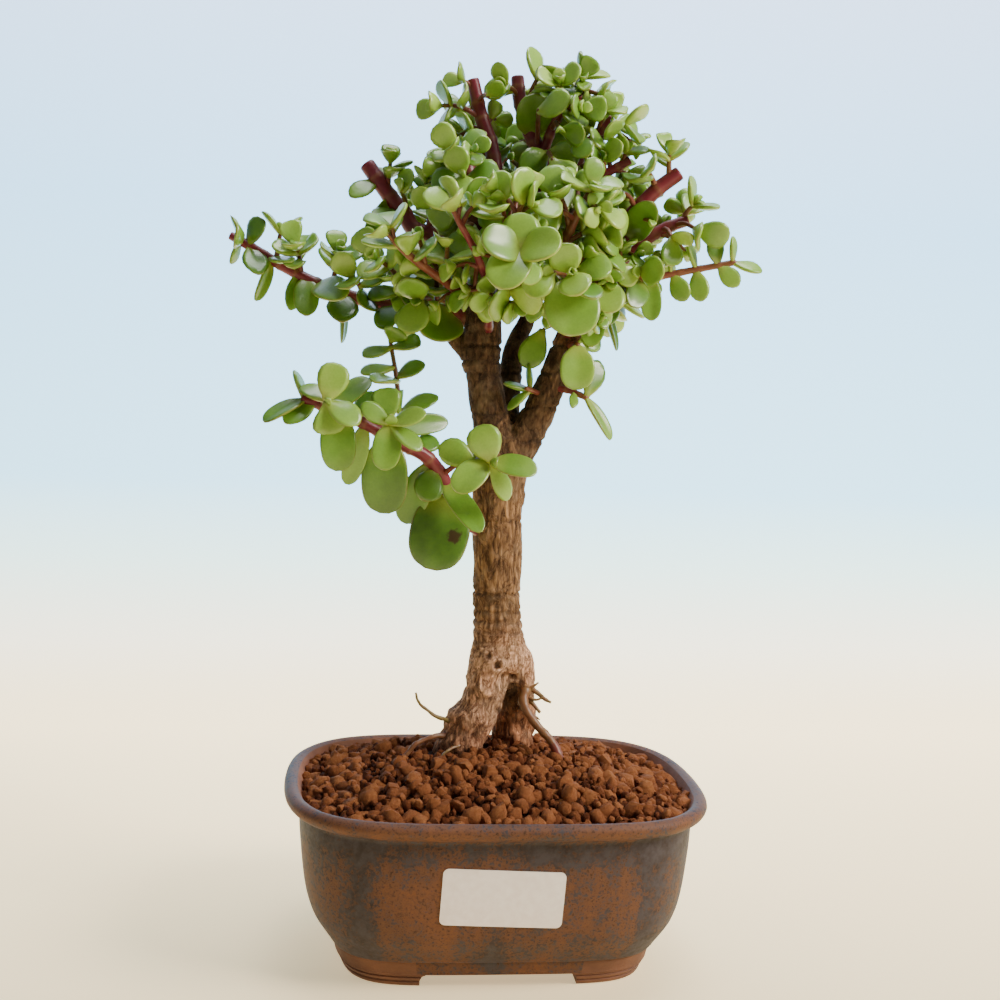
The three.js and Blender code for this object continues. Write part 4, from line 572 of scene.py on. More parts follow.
# The leaf that hangs on its own twig between the right limb and the middle one.
HUNG_TWIG = [(21.5, 6, 218), (17, 3, 222), (12.5, 4, 220.5)]
HUNG_LEAF = ((12.4, 4, 220.4), (6.8, 4, 207.3), 9.4, (0, -1, 0.3))


def hides_stem(p, named, clear):
    """True for a place in front of one of the shown stems, within clear mm of it as seen."""
    return any(hypot(p[0] - s[0], p[2] - s[2]) < clear and p[1] < s[1] + 4
               for name, start in SHOWN_STEMS.items()
               for s in (along(named[name].points, start + (1 - start) * k / 8)[0] for k in range(9)))


def crown_share(p):
    """How far out in the crown a point lies: 0 in its middle, 1 on its outline."""
    return sum(((a - m) / h) ** 2 for a, m, h in zip(p, CROWN_MIDDLE, CROWN_HALF))


def in_solids_box(leaf):
    low, high = CAD_BOX
    tip = row_frame(plus(leaf.base, times(leaf.dir, leaf.long)))
    return all(low[i] - 0.004 < tip[i] < high[i] + 0.004 for i in range(3))


def fill_crown(plan, named, jobs, twigs, seed):
    """Adds the pairs left out of the solids, end buds, and short leafy twigs where there is room."""
    draw = chance(seed)
    shoots = [s for s in plan.stems if s.parent is not None]
    for job in jobs:
        dress_shoot(plan, job, draw, False)
    carriers = [s for s in named.values() if s.parent is None and s.node not in BARE_STEMS]
    carriers += [named[name] for name in LEAFY_STEMS]
    added = 0
    for _ in range(twigs * 6):
        if added >= twigs:
            break
        stem = carriers[int(draw() * len(carriers))]
        at, way = along(stem.points, 0.25 + 0.72 * draw())
        e1 = unit(cross(way, UP if abs(way[2]) < 0.9 else (1, 0, 0)))
        out = towards(e1, cross(way, e1), 2 * pi * draw())
        go = unit(plus(plus(times(out, 0.9), times(way, 0.3 * draw())), times(UP, 0.35)))
        reach = between(TWIG_REACH, draw())
        tip = plus(at, times(go, reach))
        turn, long, pairs = 90 * draw(), 7 + 3 * draw(), 2 if reach > 9 else 1
        if crown_share(tip) >= 1 or hides_stem(tip, named, TWIG_AWAY):
            continue
        bow = times(UP, reach * SHOOT_BOW)
        twig = Stem(stem.node, [at, plus(mix(at, tip, 0.5), bow), tip], TWIG_RADII, parent=stem)
        face_shoot(twig, 0.5, turn)
        before = len(plan.leaves)
        for k in range(pairs - 1, -1, -1):
            share, rise = 0.95 - 0.42 * k * 10 / reach, 14 if k else 30
            plan.add_pair(twig, share, k % 2, rise, long * (1 - 0.1 * (1 - k)), draw, FILL_TRIES)
        if len(plan.leaves) - before < 1 + pairs:
            del plan.leaves[before:]
            continue
        plan.add_stem(twig)
        shoots.append(twig)
        added += 1
    twig = plan.add_stem(Stem("front_right", HUNG_TWIG, TWIG_RADII, parent=named["front_right"]))
    plan.add_leaf(Leaf(twig, *HUNG_LEAF))
    plan.leaves[-1].alone = True
    for shoot in shoots:
        if shoot.facing is None:
            face_shoot(shoot, 0.9, 0)
        plan.add_pair(shoot, 1.0, 1 + int(2 * draw()), BUD_RISE, 3.2 + 2.2 * draw(), draw, BUD_TRIES)
    plan.leaves = [leaf for leaf in plan.leaves if in_solids_box(leaf) and (
        leaf.alone or leaf.node == "low_left" or not hides_stem(leaf.middle, named, LEAF_AWAY))]


# ---------------- colours and materials


def linear(code):
    """An sRGB hex value such as "#7fa63f" as a linear colour with full alpha."""
    shares = [int(code[i:i + 2], 16) / 255 for i in (1, 3, 5)]
    return tuple(s / 12.92 if s <= 0.04045 else ((s + 0.055) / 1.055) ** 2.4 for s in shares) + (1.0,)


def add_node(tree, kind, inputs=None, stops=None, **settings):
    """Adds a node: settings first, then inputs by name or number. A node given as a value is linked
    by its first output in use, and a shader node's kind goes without its "ShaderNode"."""
    made = tree.nodes.new(kind if "Node" in kind else "ShaderNode" + kind)
    for name, value in settings.items():
        setattr(made, name, value)
    if stops:
        ramp = made.color_ramp
        while len(ramp.elements) < len(stops):
            ramp.elements.new(0.5)
        for element, (place, tint) in zip(ramp.elements, stops):
            element.position = place
            element.color = linear(tint) if isinstance(tint, str) else tuple(tint)
    for name, value in (inputs or {}).items():
        if isinstance(value, bpy.types.Node):
            value = next(socket for socket in value.outputs if socket.enabled)
        if isinstance(value, bpy.types.NodeSocket):
            tree.links.new(value, made.inputs[name])
        else:
            made.inputs[name].default_value = value
    return made


def new_material(name):
    """What adds a node to a new material, what ends it in a shader with its inputs, and its Object
    coordinates."""
    material = bpy.data.materials.new(name)
    material.use_nodes = True
    material.node_tree.nodes.clear()
    add = partial(add_node, material.node_tree)

    def finish(inputs):
        add("OutputMaterial", {"Surface": add("BsdfPrincipled", inputs)})
        return material

    return add, finish, add("TexCoord").outputs["Object"]


def per_mm(size):
    """The noise scale, on Object coordinates in metres, whose features are this many mm wide."""
    return 1000 / size


def grey(share):
    return (share, share, share, 1)


# The settings of a node that lays one colour over another, and of one that darkens a colour by another.
LAID = {"data_type": "RGBA"}
DARKENED = {"data_type": "RGBA", "blend_type": "MULTIPLY"}
# Where one old leaf has a brown scab, in metres.
LEAF_SPOT = (-0.0118, -0.0138, 0.1479)


def leaf_skin(colours):
    """Succulent leaf: waxy cuticle over wet flesh. The wax gives broad soft highlights, the flesh
    a slight glow; thin edges redden in strong light."""
    add, finish, where = new_material("jade_leaf_cuticle")
    tone, rim, reach, under = (add("Attribute", attribute_name=name).outputs["Fac"]
                               for name in ("tone", "rim", "reach", "under"))
    cloud, grain, ragged = (add("TexNoise", {"Vector": where, "Scale": per_mm(size), "Detail": detail})
                            for size, detail in ((7, 3.0), (0.7, 2.0), (1.6, 4.0)))
    swing = add("Math", {0: cloud, 1: 0.34, 2: -0.17}, operation="MULTIPLY_ADD")
    # The tone brings painted light and shade: lighter on high and front leaves, darker deep in the crown.
    shade = add("Math", {0: tone, 1: swing}, operation="ADD")
    skin = add("ValToRGB", {"Fac": shade}, stops=[
        (0.0, colours.shade), (0.35, colours.body), (0.75, colours.young), (1.0, colours.pale)])
    heel = add("MapRange", {"Value": reach, 1: 0.02, 2: 0.38, 3: 0.5, 4: 0.0})
    back = add("Math", {0: under, 1: 0.16}, operation="MULTIPLY")
    blush = add("MapRange", {"Value": rim, 1: 0.93, 2: 1.0, 3: 0.0, 4: 0.34})
    for share, tint in ((heel, colours.heel), (back, colours.pale), (blush, colours.rim)):
        skin = add("Mix", {0: share, 6: skin, 7: tint[:]}, **LAID)
    fleck = add("MapRange", {"Value": grain, 1: 0.25, 2: 0.75, 3: 0.93, 4: 1.07})
    skin = add("Mix", {0: 1.0, 6: skin, 7: fleck}, **DARKENED)
    gap = add("VectorMath", {0: where, 1: LEAF_SPOT}, operation="DISTANCE")
    edge = add("Math", {0: ragged, 1: 0.004, 2: gap}, operation="MULTIPLY_ADD")
    scab = add("MapRange", {"Value": edge, 1: 0.0040, 2: 0.0050, 3: 0.9, 4: 0.0})
    skin = add("Mix", {0: scab, 6: skin, 7: linear("#3a1c0e")}, **LAID)
    wax = add("MapRange", {"Value": cloud, 1: 0.3, 2: 0.7, 3: 0.3, 4: 0.44})
    bump = add("Bump", {"Height": grain, "Strength": 0.12, "Distance": 0.0002})
    return finish({
        "Base Color": skin, "Roughness": wax, "Normal": bump, "IOR": 1.45, "Subsurface Weight": 0.15,
        "Subsurface Radius": (0.6, 1.0, 0.25), "Subsurface Scale": 0.0016, "Coat Weight": 0.45,
        "Coat Roughness": 0.2})


def young_bark(colours):
    """Young succulent stem: smooth tight skin, red-purple where it is old, orange to green where it
    is new, ringed at each old leaf scar."""
    add, finish, where = new_material("jade_stem_skin")
    age, ring = (add("Attribute", attribute_name=name).outputs["Fac"] for name in ("age", "ring"))
    cloud, fine = (add("TexNoise", {"Vector": where, "Scale": per_mm(size), "Detail": detail})
                   for size, detail in ((3, 4.0), (0.5, 3.0)))
    swing = add("Math", {0: cloud, 1: 0.4, 2: -0.2}, operation="MULTIPLY_ADD")
    shade = add("Math", {0: age, 1: swing}, operation="ADD")
    skin = add("ValToRGB", {"Fac": shade}, stops=[
        (0.0, colours.green), (0.3, colours.orange), (0.62, colours.red), (1.0, colours.maroon)])
    worn = add("Math", {0: ring, 1: 0.55}, operation="MULTIPLY")
    final = add("Mix", {0: worn, 6: skin, 7: colours.scar[:]}, **LAID)
    bump = add("Bump", {"Height": fine, "Strength": 0.3, "Distance": 0.0002})
    return finish({
        "Base Color": final, "Normal": bump, "Roughness": 0.42, "IOR": 1.45, "Coat Weight": 0.1,
        "Coat Roughness": 0.3})


def mottled(name, size, detail, stops, roughness, strength, depth):
    """A dull material whose fine mottling also stands out a little."""
    add, finish, where = new_material(name)
    grain = add("TexNoise", {"Vector": where, "Scale": per_mm(size), "Detail": detail})
    tint = add("ValToRGB", {"Fac": grain}, stops=stops)
    inputs = {"Base Color": tint, "Roughness": roughness}
    if strength:
        inputs["Normal"] = add("Bump", {"Height": grain, "Strength": strength, "Distance": depth})
    return finish(inputs)


def cut_wood(colours):
    """Pruned end, dried: pale corky pith, dull and slightly rough."""
    return mottled("dried_cut_pith", 0.9, 4.0, [(0.3, colours.scar), (0.65, colours.pith)],
                   0.8, 0.6, 0.0003)


def coated_paper(colours):
    """Coated label paper: smooth, nearly white, with a faint satin sheen and no print."""
    return mottled("coated_label_paper", 2.5, 5.0, [(0.3, colours.shade), (0.7, colours.paper)],
                   0.48, 0.08, 0.0002)


def moulded_mesh():
    """Black polyethylene screen, moulded: faint mottling, low sheen."""
    return mottled("moulded_polyethylene", 2, 3.0, [(0.3, "#1b1b1c"), (0.7, "#2e2e30")], 0.55, 0, 0)


def old_bark(colours):
    """Old corky bark: dry fissured plates. Dull all over, pale on the ridges, dark in the cracks."""
    add, finish, where = new_material("fissured_bark")
    tint = add("Attribute", attribute_name="bark_tint").outputs["Color"]
    ridge = add("Attribute", attribute_name="ridge").outputs["Fac"]
    grain, plates = (add("Mapping", {"Vector": where, "Scale": (1.0, 1.0, drawn)})
                     for drawn in (0.16, 0.42))
    fibre = add("TexNoise", {"Vector": grain, "Scale": per_mm(0.9), "Detail": 7.0, "Roughness": 0.72})
    patch = add("TexNoise", {"Vector": where, "Scale": per_mm(5), "Detail": 4.0})
    flake = add("TexNoise", {
        "Vector": plates, "Scale": per_mm(3.6), "Detail": 5.0, "Roughness": 0.62, "Distortion": 0.6})
    strand = add("MapRange", {"Value": fibre, 1: 0.3, 2: 0.7, 3: -0.3, 4: 0.34})
    depth = add("Math", {0: ridge, 1: strand}, operation="ADD")
    tone = add("ValToRGB", {"Fac": depth}, stops=[
        (0.0, (0.2, 0.17, 0.14, 1)), (0.3, (0.5, 0.46, 0.41, 1)), (0.6, (0.85, 0.83, 0.8, 1)),
        (0.85, (1.3, 1.3, 1.3, 1)), (1.0, (1.9, 1.95, 2.0, 1))])
    crack = (0.36, 0.31, 0.27, 1)
    vein = add("ValToRGB", {"Fac": flake}, stops=[
        (0.44, grey(1)), (0.49, crack), (0.505, crack), (0.55, grey(1))])
    bark = add("Mix", {0: 1.0, 6: tint, 7: tone}, **DARKENED)
    bark = add("Mix", {0: 0.8, 6: bark, 7: vein}, **DARKENED)
    lichen = add("MapRange", {"Value": patch, 1: 0.5, 2: 0.75, 3: 0.0, 4: 0.3})
    bark = add("Mix", {0: lichen, 6: bark, 7: colours.dust[:]}, **LAID)
    rough = add("Bump", {"Height": fibre, "Strength": 0.9, "Distance": 0.0008})
    bump = add("Bump", {"Height": vein, "Strength": 0.8, "Distance": 0.0005, "Normal": rough})
    return finish({
        "Base Color": bark, "Normal": bump, "Roughness": 0.86, "Specular IOR Level": 0.3})


# How much slate the glaze has at each share of the wall's height.
SLATE_BANDS = ((0.1, 0.5), (0.2, 0.62), (0.34, 0.32), (0.55, 0.12), (0.72, 0.26), (0.8, 0.66), (0.86, 0.74),
               (0.9, 0.18), (0.96, 0.06), (1.0, 0.2))


def pot_glaze(colours):
    """Reduction-fired stoneware glaze: satin, rust brown where it is thick, slate where it breaks
    under the lip, low down and at the corners, with dark iron speckle at every border."""
    add, finish, where = new_material("iron_stoneware_glaze")
    centred = add("Mapping", {"Vector": where, "Location": (-POT_MIDDLE[0], -POT_MIDDLE[1], 0)})
    runs = add("Mapping", {"Vector": where, "Scale": (1.0, 1.0, 0.4)})
    axes = add("SeparateXYZ", {0: centred}).outputs
    cloud = add("TexNoise", {
        "Vector": runs, "Scale": per_mm(26), "Detail": 4.0, "Roughness": 0.6, "Distortion": 0.4})
    speck = add("TexNoise", {"Vector": where, "Scale": per_mm(1.2), "Detail": 6.0, "Roughness": 0.66})
    blot = add("TexNoise", {"Vector": where, "Scale": per_mm(5), "Detail": 5.0, "Roughness": 0.7})
    rise = add("MapRange", {"Value": axes["Z"], 1: 0.0, 2: 0.062})
    total = add("ValToRGB", {"Fac": rise}, stops=[(place, grey(share)) for place, share in SLATE_BANDS])
    sideways = add("Math", {0: axes["X"]}, operation="ABSOLUTE")
    turn = add("Math", {0: sideways, 1: 0.0465}, operation="SUBTRACT")
    away = add("Math", {0: turn}, operation="ABSOLUTE")
    streak = add("MapRange", {"Value": away, 1: 0.0, 2: 0.007, 3: 0.42, 4: 0.0})
    corner = add("MapRange", {"Value": sideways, 1: 0.03, 2: 0.07, 3: 0.0, 4: 0.34})
    under_lip = add("MapRange", {"Value": axes["Z"], 1: 0.055, 2: 0.058, 3: 1.0, 4: 0.25})
    turns = add("Math", {0: streak, 1: corner}, operation="ADD")
    sides = add("Math", {0: turns, 1: under_lip}, operation="MULTIPLY")
    total = add("Math", {0: total, 1: sides}, operation="ADD")
    for noisy, swing in ((cloud, 2.4), (blot, 1.5), (speck, 3.4)):
        part = add("Math", {0: noisy, 1: swing, 2: -swing / 2}, operation="MULTIPLY_ADD")
        total = add("Math", {0: total, 1: part}, operation="ADD")
    mask = add("MapRange", {"Value": total, 1: 0.22, 2: 0.68})
    brown = add("ValToRGB", {"Fac": speck}, stops=[
        (0.3, colours.dark), (0.45, colours.brown), (0.62, colours.rust)])
    slate = add("ValToRGB", {"Fac": blot}, stops=[(0.35, colours.umber), (0.6, colours.slate)])
    final = add("Mix", {0: mask, 6: brown, 7: slate}, **LAID)
    satin = add("MapRange", {"Value": speck, 1: 0.3, 2: 0.7, 3: 0.52, 4: 0.72})
    bump = add("Bump", {"Height": blot, "Strength": 0.25, "Distance": 0.0005})
    return finish({
        "Base Color": final, "Roughness": satin, "Normal": bump, "IOR": 1.45, "Specular IOR Level": 0.3})


def bare_stoneware(colours):
    """Unglazed stoneware: bisque burnt red-brown on the feet and tan inside; dry and gritty."""
    add, finish, where = new_material("bare_stoneware")
    grit, cloud = (add("TexNoise", {"Vector": where, "Scale": per_mm(size), "Detail": detail})
                   for size, detail in ((0.9, 6.0), (12, 4.0)))
    up = add("MapRange", {"Value": add("SeparateXYZ", {0: where}).outputs["Z"], 1: 0.01, 2: 0.03})
    clay = add("Mix", {0: up, 6: colours.foot[:], 7: colours.inside[:]}, **LAID)
    shade = add("MapRange", {"Value": cloud, 1: 0.3, 2: 0.7, 3: 0.72, 4: 1.2})
    final = add("Mix", {0: 1.0, 6: clay, 7: shade}, **DARKENED)
    bump = add("Bump", {"Height": grit, "Strength": 0.5, "Distance": 0.0003})
    return finish({"Base Color": final, "Normal": bump, "Roughness": 0.78})


def clay_granule(colours):
    """Baked clay granules: porous, dusty and quite dull, each of its own red-brown."""
    add, finish, where = new_material("baked_clay_granule")
    tone = add("Attribute", attribute_name="grain_tone").outputs["Fac"]
    dust = add("TexNoise", {"Vector": where, "Scale": per_mm(1.3), "Detail": 8.0, "Roughness": 0.78})
    swing = add("Math", {0: dust, 1: 0.9, 2: -0.45}, operation="MULTIPLY_ADD")
    shade = add("Math", {0: tone, 1: swing}, operation="ADD")
    clay = add("ValToRGB", {"Fac": shade}, stops=[
        (0.0, colours.dark), (0.35, colours.clay), (0.75, colours.light), (1.0, colours.dust)])
    bump = add("Bump", {"Height": dust, "Strength": 1.0, "Distance": 0.0011})
    return finish({
        "Base Color": clay, "Normal": bump, "Roughness": 0.95, "Specular IOR Level": 0.15})


def backlit_sweep(glow):
    """Opal acrylic sweep lit from behind: matt and softly glowing, cream at the foot, pale blue above."""
    add, finish, where = new_material("opal_acrylic_sweep")
    axes = add("SeparateXYZ", {0: where}).outputs
    rise = add("MapRange", {"Value": axes["Z"], 1: 0.0, 2: 0.75})
    behind = add("MapRange", {"Value": axes["Y"], 1: -0.12, 2: 0.3, 3: 0.12, 4: 1.0})
    off_axis = add("Math", {0: axes["X"], 1: 0.11}, operation="SUBTRACT")
    aside = add("Math", {0: off_axis}, operation="ABSOLUTE")
    lamps = add("MapRange", {"Value": aside, 1: 0.58, 2: 0.85, 3: glow, 4: 0.08 * glow})
    lower = add("MapRange", {"Value": axes["Z"], 1: 0.7, 2: 1.0, 3: 1.0, 4: 0.15})
    both = add("Math", {0: behind, 1: lamps}, operation="MULTIPLY")
    shine = add("Math", {0: both, 1: lower}, operation="MULTIPLY")
    tint = add("ValToRGB", {"Fac": rise}, stops=[
        (0.0, "#f2dcae"), (0.025, "#efe6cc"), (0.08, "#cbe9e2"), (0.15, "#a6dcf4"), (0.5, "#9cd0f6"),
        (1.0, "#bccdf0")])
    return finish({
        "Base Color": tint, "Emission Color": tint, "Emission Strength": shine, "Roughness": 0.95,
        "Specular IOR Level": 0.1})


# ---------------- mesh helpers


class Skin:
    """Points, faces and per-point values gathered before they become one mesh."""

    def __init__(self, *values):
        self.points, self.faces, self.slots = [], [], []
        self.values = {name: [] for name in values}

    def ring(self, points, **values):
        start = len(self.points)
        self.points += points
        for name, given in self.values.items():
            given += [values.get(name, 0.0)] * len(points)
        return range(start, len(self.points))

    def wall(self, a, b, slot=0):
        n = len(a)
        self.faces += [(a[i], a[(i + 1) % n], b[(i + 1) % n], b[i]) for i in range(n)]
        self.slots += [slot] * n

    def cap(self, ring, slot=0, flip=False):
        self.faces.append(tuple(reversed(ring)) if flip else tuple(ring))
        self.slots.append(slot)

    def loft(self, rings):
        """A closed skin over rings, each given as its points, its values and its material's place."""
        last = None
        for points, values, slot in rings:
            ring = self.ring(points, **values)
            if last:
                self.wall(last, ring, slot)
            else:
                self.cap(ring, flip=True)
            last = ring
        self.cap(last, slot)

    def mesh(self, name):
        made = bpy.data.meshes.new(name)
        made.from_pydata([row_frame(p) for p in self.points], [], self.faces)
        made.polygons.foreach_set("material_index", self.slots)
        for value, given in self.values.items():
            store(made, value, "FLOAT", given)
        made.shade_smooth()
        return made


def store(mesh, name, kind, values):
    """Keeps a value of each point on the mesh."""
    key = {"FLOAT_VECTOR": "vector", "FLOAT_COLOR": "color"}.get(kind, "value")
    mesh.attributes.new(name, kind, "POINT").data.foreach_set(key, values)


def mesh_of(name, made):
    """The mesh of a finished bmesh, smooth all over."""
    mesh = bpy.data.meshes.new(name)
    made.to_mesh(mesh)
    made.free()
    mesh.shade_smooth()
    return mesh


def new_piece(name, data, *materials):
    """An object in the scene from a skin or other data, with its materials."""
    piece = bpy.data.objects.new(name, data.mesh(name) if isinstance(data, Skin) else data)
    bpy.context.scene.collection.objects.link(piece)
    for material in materials:
        piece.data.materials.append(material)
    return piece


def settle(piece):
    """Turns a piece's modifiers into its own mesh and removes them."""
    graph = bpy.context.evaluated_depsgraph_get()
    made = bpy.data.meshes.new_from_object(piece.evaluated_get(graph), depsgraph=graph)
    piece.modifiers.clear()
    piece.data = made
    made.name = piece.name
    return piece


def finish_piece(piece, slot, *nodes):
    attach(piece, "root")
    if nodes:
        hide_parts(*nodes)


def smooth_path(points, radii, step):
    """A curve through the points, with a radius for each, resampled about every step mm."""
    before, after = (minus(times(a, 2), b) for a, b in ((points[0], points[1]), (points[-1], points[-2])))
    ends = [before, *points, after]
    path, widths = [], []
    for i in range(1, len(points)):
        a, b, c, d = ends[i - 1:i + 3]
        parts = max(1, round(length(minus(c, b)) / step))
        for k in range(parts):
            t = k / parts
            w = ((-t + 2 * t * t - t ** 3) / 2, (2 - 5 * t * t + 3 * t ** 3) / 2,
                 (t + 4 * t * t - 3 * t ** 3) / 2, (t ** 3 - t * t) / 2)
            path.append(plus(plus(times(a, w[0]), times(b, w[1])), plus(times(c, w[2]), times(d, w[3]))))
            widths.append(between((radii[i - 1], radii[i]), t))
    return path + [tuple(points[-1])], widths + [radii[-1]]


def rings_along(path, widths, sides):
    """Rings of points square to a path, turned as little as possible from one to the next."""
    hint = None
    for i, (p, r) in enumerate(zip(path, widths)):
        axis = unit(minus(path[min(i + 1, len(path) - 1)], path[max(i - 1, 0)]))
        hint = square_to(hint or ((1, 0, 0) if abs(axis[2]) > 0.85 else UP), axis)
        e2 = cross(axis, hint)
        yield [plus(p, plus(times(hint, r * cos(2 * pi * k / sides)),
                            times(e2, r * sin(2 * pi * k / sides)))) for k in range(sides)]


def tube_path(tube, step):
    """A smooth path and its widths from (x, y, z, radius) rows."""
    return smooth_path([row[:3] for row in tube], [row[3] for row in tube], step)


# ---------------- stems

STEM_STEP = 1.1
STEM_SWELL = {"low_left": 1.15, "left_cut": 1.35, "top_left": 1.35, "top_mid": 1.25, "top_right": 1.1,
              "right_cut": 1.2}
NODE_SPACING = 7.0
# How old each stem's skin is at its base and tip: 1 is deep maroon, 0 is fresh green.
STEM_AGES = {
    "low_left": (0.62, 0.9), "left_long": (0.45, 0.85), "left_front": (0.55, 0.3),
    "left_cut": (0.95, 0.85), "top_thick": (1.0, 0.9), "top_left": (1.0, 0.85), "top_mid": (0.95, 0.85),
    "top_mid_fork": (0.9, 0.85), "top_right": (0.7, 0.75), "top_right_fork": (0.6, 0.8),
    "right_front": (0.5, 0.3), "right_cut": (0.4, 0.9), "right_cut_fork": (0.55, 0.75),
    "right_long": (0.5, 0.3), "front_low": (0.8, 0.45), "front_high": (0.85, 0.5),
    "front_left": (1.15, 0.5), "front_right": (0.8, 0.4),
}
# How a stem ends: share of its radius, how far out in radii, and the material's place.
CUT_END = [(0.93, 0.22, 0), (0.72, 0.08, 1), (0.35, -0.12, 1)]
BUD_END = [(0.75, 0.5, 0), (0.35, 0.8, 0)]
CUT_STEMS = ("left_long", "left_cut", "low_left", "top_thick", "top_left", "top_mid", "top_mid_fork",
             "top_right", "right_cut", "right_cut_fork", "top_right_fork")


def stem_rings(stem, ages, cut, draw, sides):
    """One stem: a smooth tube that swells at each old leaf scar, and ends in a cut or a bud."""
    count, swell = len(stem.points), STEM_SWELL.get(stem.name, 1.0)
    radii = [swell * between((stem.radii[0], stem.radii[-1]), i / (count - 1)) for i in range(count)]
    path, widths = smooth_path(stem.points, radii, STEM_STEP)
    travelled, marks, at = [0.0], [], 1.5 + 4 * draw()
    for a, b in zip(path, path[1:]):
        travelled.append(travelled[-1] + length(minus(b, a)))
    while at < travelled[-1] - 2:
        marks.append(at)
        at += NODE_SPACING * (0.8 + 0.4 * draw())
    near = [min([abs(s - m) for m in marks] or [9]) for s in travelled]
    widths = [w * (1 + 0.13 * exp(-((d / 0.75) ** 2))) for w, d in zip(widths, near)]
    for points, s, d in zip(rings_along(path, widths, sides), travelled, near):
        yield points, {"age": between(ages, s / travelled[-1]), "ring": exp(-((d / 0.55) ** 2))}, 0
    end, way = path[-1], unit(minus(path[-1], path[-2]))
    for share, out, slot in CUT_END if cut else BUD_END:
        middle = plus(end, times(way, out * widths[-1]))
        ring = [plus(middle, times(minus(p, end), share)) for p in points]
        yield ring, {"age": ages[1], "ring": 0.2}, slot


def stem_skin(plan):
    skin, draw = Skin("age", "ring"), chance(STEM_SEED)
    leafy = {id(leaf.stem) for leaf in plan.leaves}
    for stem in plan.stems:
        if stem.node == "trunk" or (stem.parent is not None and id(stem) not in leafy):
            continue
        ages = STEM_AGES.get((stem.parent or stem).name, (0.6, 0.3))
        if stem.parent is not None:
            ages = (0.25 + 0.35 * between(ages, 0.5), 0.12 + 0.2 * draw())
        cut, sides = stem.name in CUT_STEMS, 14 if stem.parent is None else 8
        skin.loft(stem_rings(stem, ages, cut, draw, sides))
    return skin


# ---------------- leaves

# A blade's half width at each share of its length, how far its sides are cupped and its tip is
# bent, and how many parts each stretch is cut into. The last form is for the largest leaves.
LEAF_PLACES = (0.0, 0.1, 0.25, 0.44, 0.62, 0.79, 0.92, 0.99)
LEAF_FORMS = {
    "leaf_round": ((0.11, 0.18, 0.34, 0.46, 0.5, 0.46, 0.33, 0.12), 0.6, 0.5, 1),
    "leaf_spoon": ((0.1, 0.13, 0.25, 0.4, 0.49, 0.5, 0.38, 0.15), 0.85, 0.8, 1),
    "leaf_oval": ((0.12, 0.18, 0.33, 0.46, 0.5, 0.43, 0.28, 0.09), 0.45, 0.3, 1),
    "leaf_flat": ((0.11, 0.16, 0.31, 0.45, 0.5, 0.47, 0.34, 0.12), 0.5, -0.8, 1),
    "leaf_large": ((0.12, 0.27, 0.43, 0.5, 0.5, 0.45, 0.32, 0.11), 0.5, -0.7, 3),
}
LARGE_LEAF = 14.5


def blade_mesh(name, halves, cup, bend, parts):
    """One leaf, 1 long along +Y, 1 wide and 1 thick: flatter above and fuller below, its sides
    cupped and its tip bent, by shares of its thickness."""
    rows = [(place, half, 0) for place, half in zip(LEAF_PLACES, halves)]
    if parts > 1:
        rows, _ = smooth_path(rows, [0] * len(rows), 0.18 / parts)
    turns = [2 * pi * k / (8 * parts) for k in range(8 * parts)]
    made = bmesh.new()
    rim, reach, under = (made.verts.layers.float.new(layer) for layer in ("rim", "reach", "under"))
    rings = []
    for place, half, _ in rows:
        swell = max(0.0, 1 - ((place - 0.42) / 0.6) ** 2) ** 0.5
        rings.append([])
        for turn in turns:
            across, side = -cos(turn), sin(turn)
            body = copysign(abs(side) ** 0.7, side) * swell * (0.42 if side > 0 else 0.58)
            trough = abs(2 * half * across) ** 1.5
            lift = cup * trough + bend * (place - 0.35) ** 2 * (1 if place > 0.35 else 0.3)
            vertex = made.verts.new((across * half, place, body + lift))
            vertex[rim] = max(abs(across), (place - 0.55) / 0.45)
            vertex[reach], vertex[under] = place, 1.0 if side < -0.01 else 0.0
            rings[-1].append(vertex)
    for a, b in zip(rings, rings[1:]):
        for k in range(len(a)):
            after = (k + 1) % len(a)
            made.faces.new((a[k], a[after], b[after], b[k]))
    made.faces.new(rings[0])
    made.faces.new(list(reversed(rings[-1])))
    bmesh.ops.recalc_face_normals(made, faces=made.faces)
    return mesh_of(name, made)


def leaf_points(plan, draw):
    """One point per leaf for the leaf tree to read: its directions, size, form and a tone with painted
    light and shade.
    """
    mesh, leaves = bpy.data.meshes.new("leaf_points"), plan.leaves
    mesh.from_pydata([row_frame(leaf.base) for leaf in leaves], [], [])
    forms, tones_with_painted_light = [], []
    for leaf in leaves:
        form = 2 if leaf.wide < 0.78 * leaf.long else int(4 * draw())
        forms.append(4 if leaf.long >= LARGE_LEAF else form)
        # Painted light and shade in the tone: higher leaves and those at the front lighter, leaves deep in
        # the crown darker. The young and random terms are the leaves' own tones.
        high = (leaf.base[2] - 200) / 110
        front = (20 - leaf.base[1]) / 70
        young = -0.06 if leaf.stem.parent is None else 0.1
        inner = max(0.0, 0.8 - crown_share(leaf.middle))
        tone = 0.42 + 0.12 * high + 0.16 * front + young - 0.3 * inner + 0.44 * (draw() - 0.5)
        tones_with_painted_light.append(min(0.97, max(0.03, tone)))
    for name, values in (
        ("leaf_way", [leaf.dir for leaf in leaves]),
        ("leaf_face", [leaf.up for leaf in leaves]),
        ("leaf_size", [times((leaf.wide, leaf.long, leaf.thick), MM) for leaf in leaves]),
    ):
        store(mesh, name, "FLOAT_VECTOR", [part for value in values for part in value])
    store(mesh, "leaf_form", "INT", forms)
    store(mesh, "tone", "FLOAT", tones_with_painted_light)
    return mesh


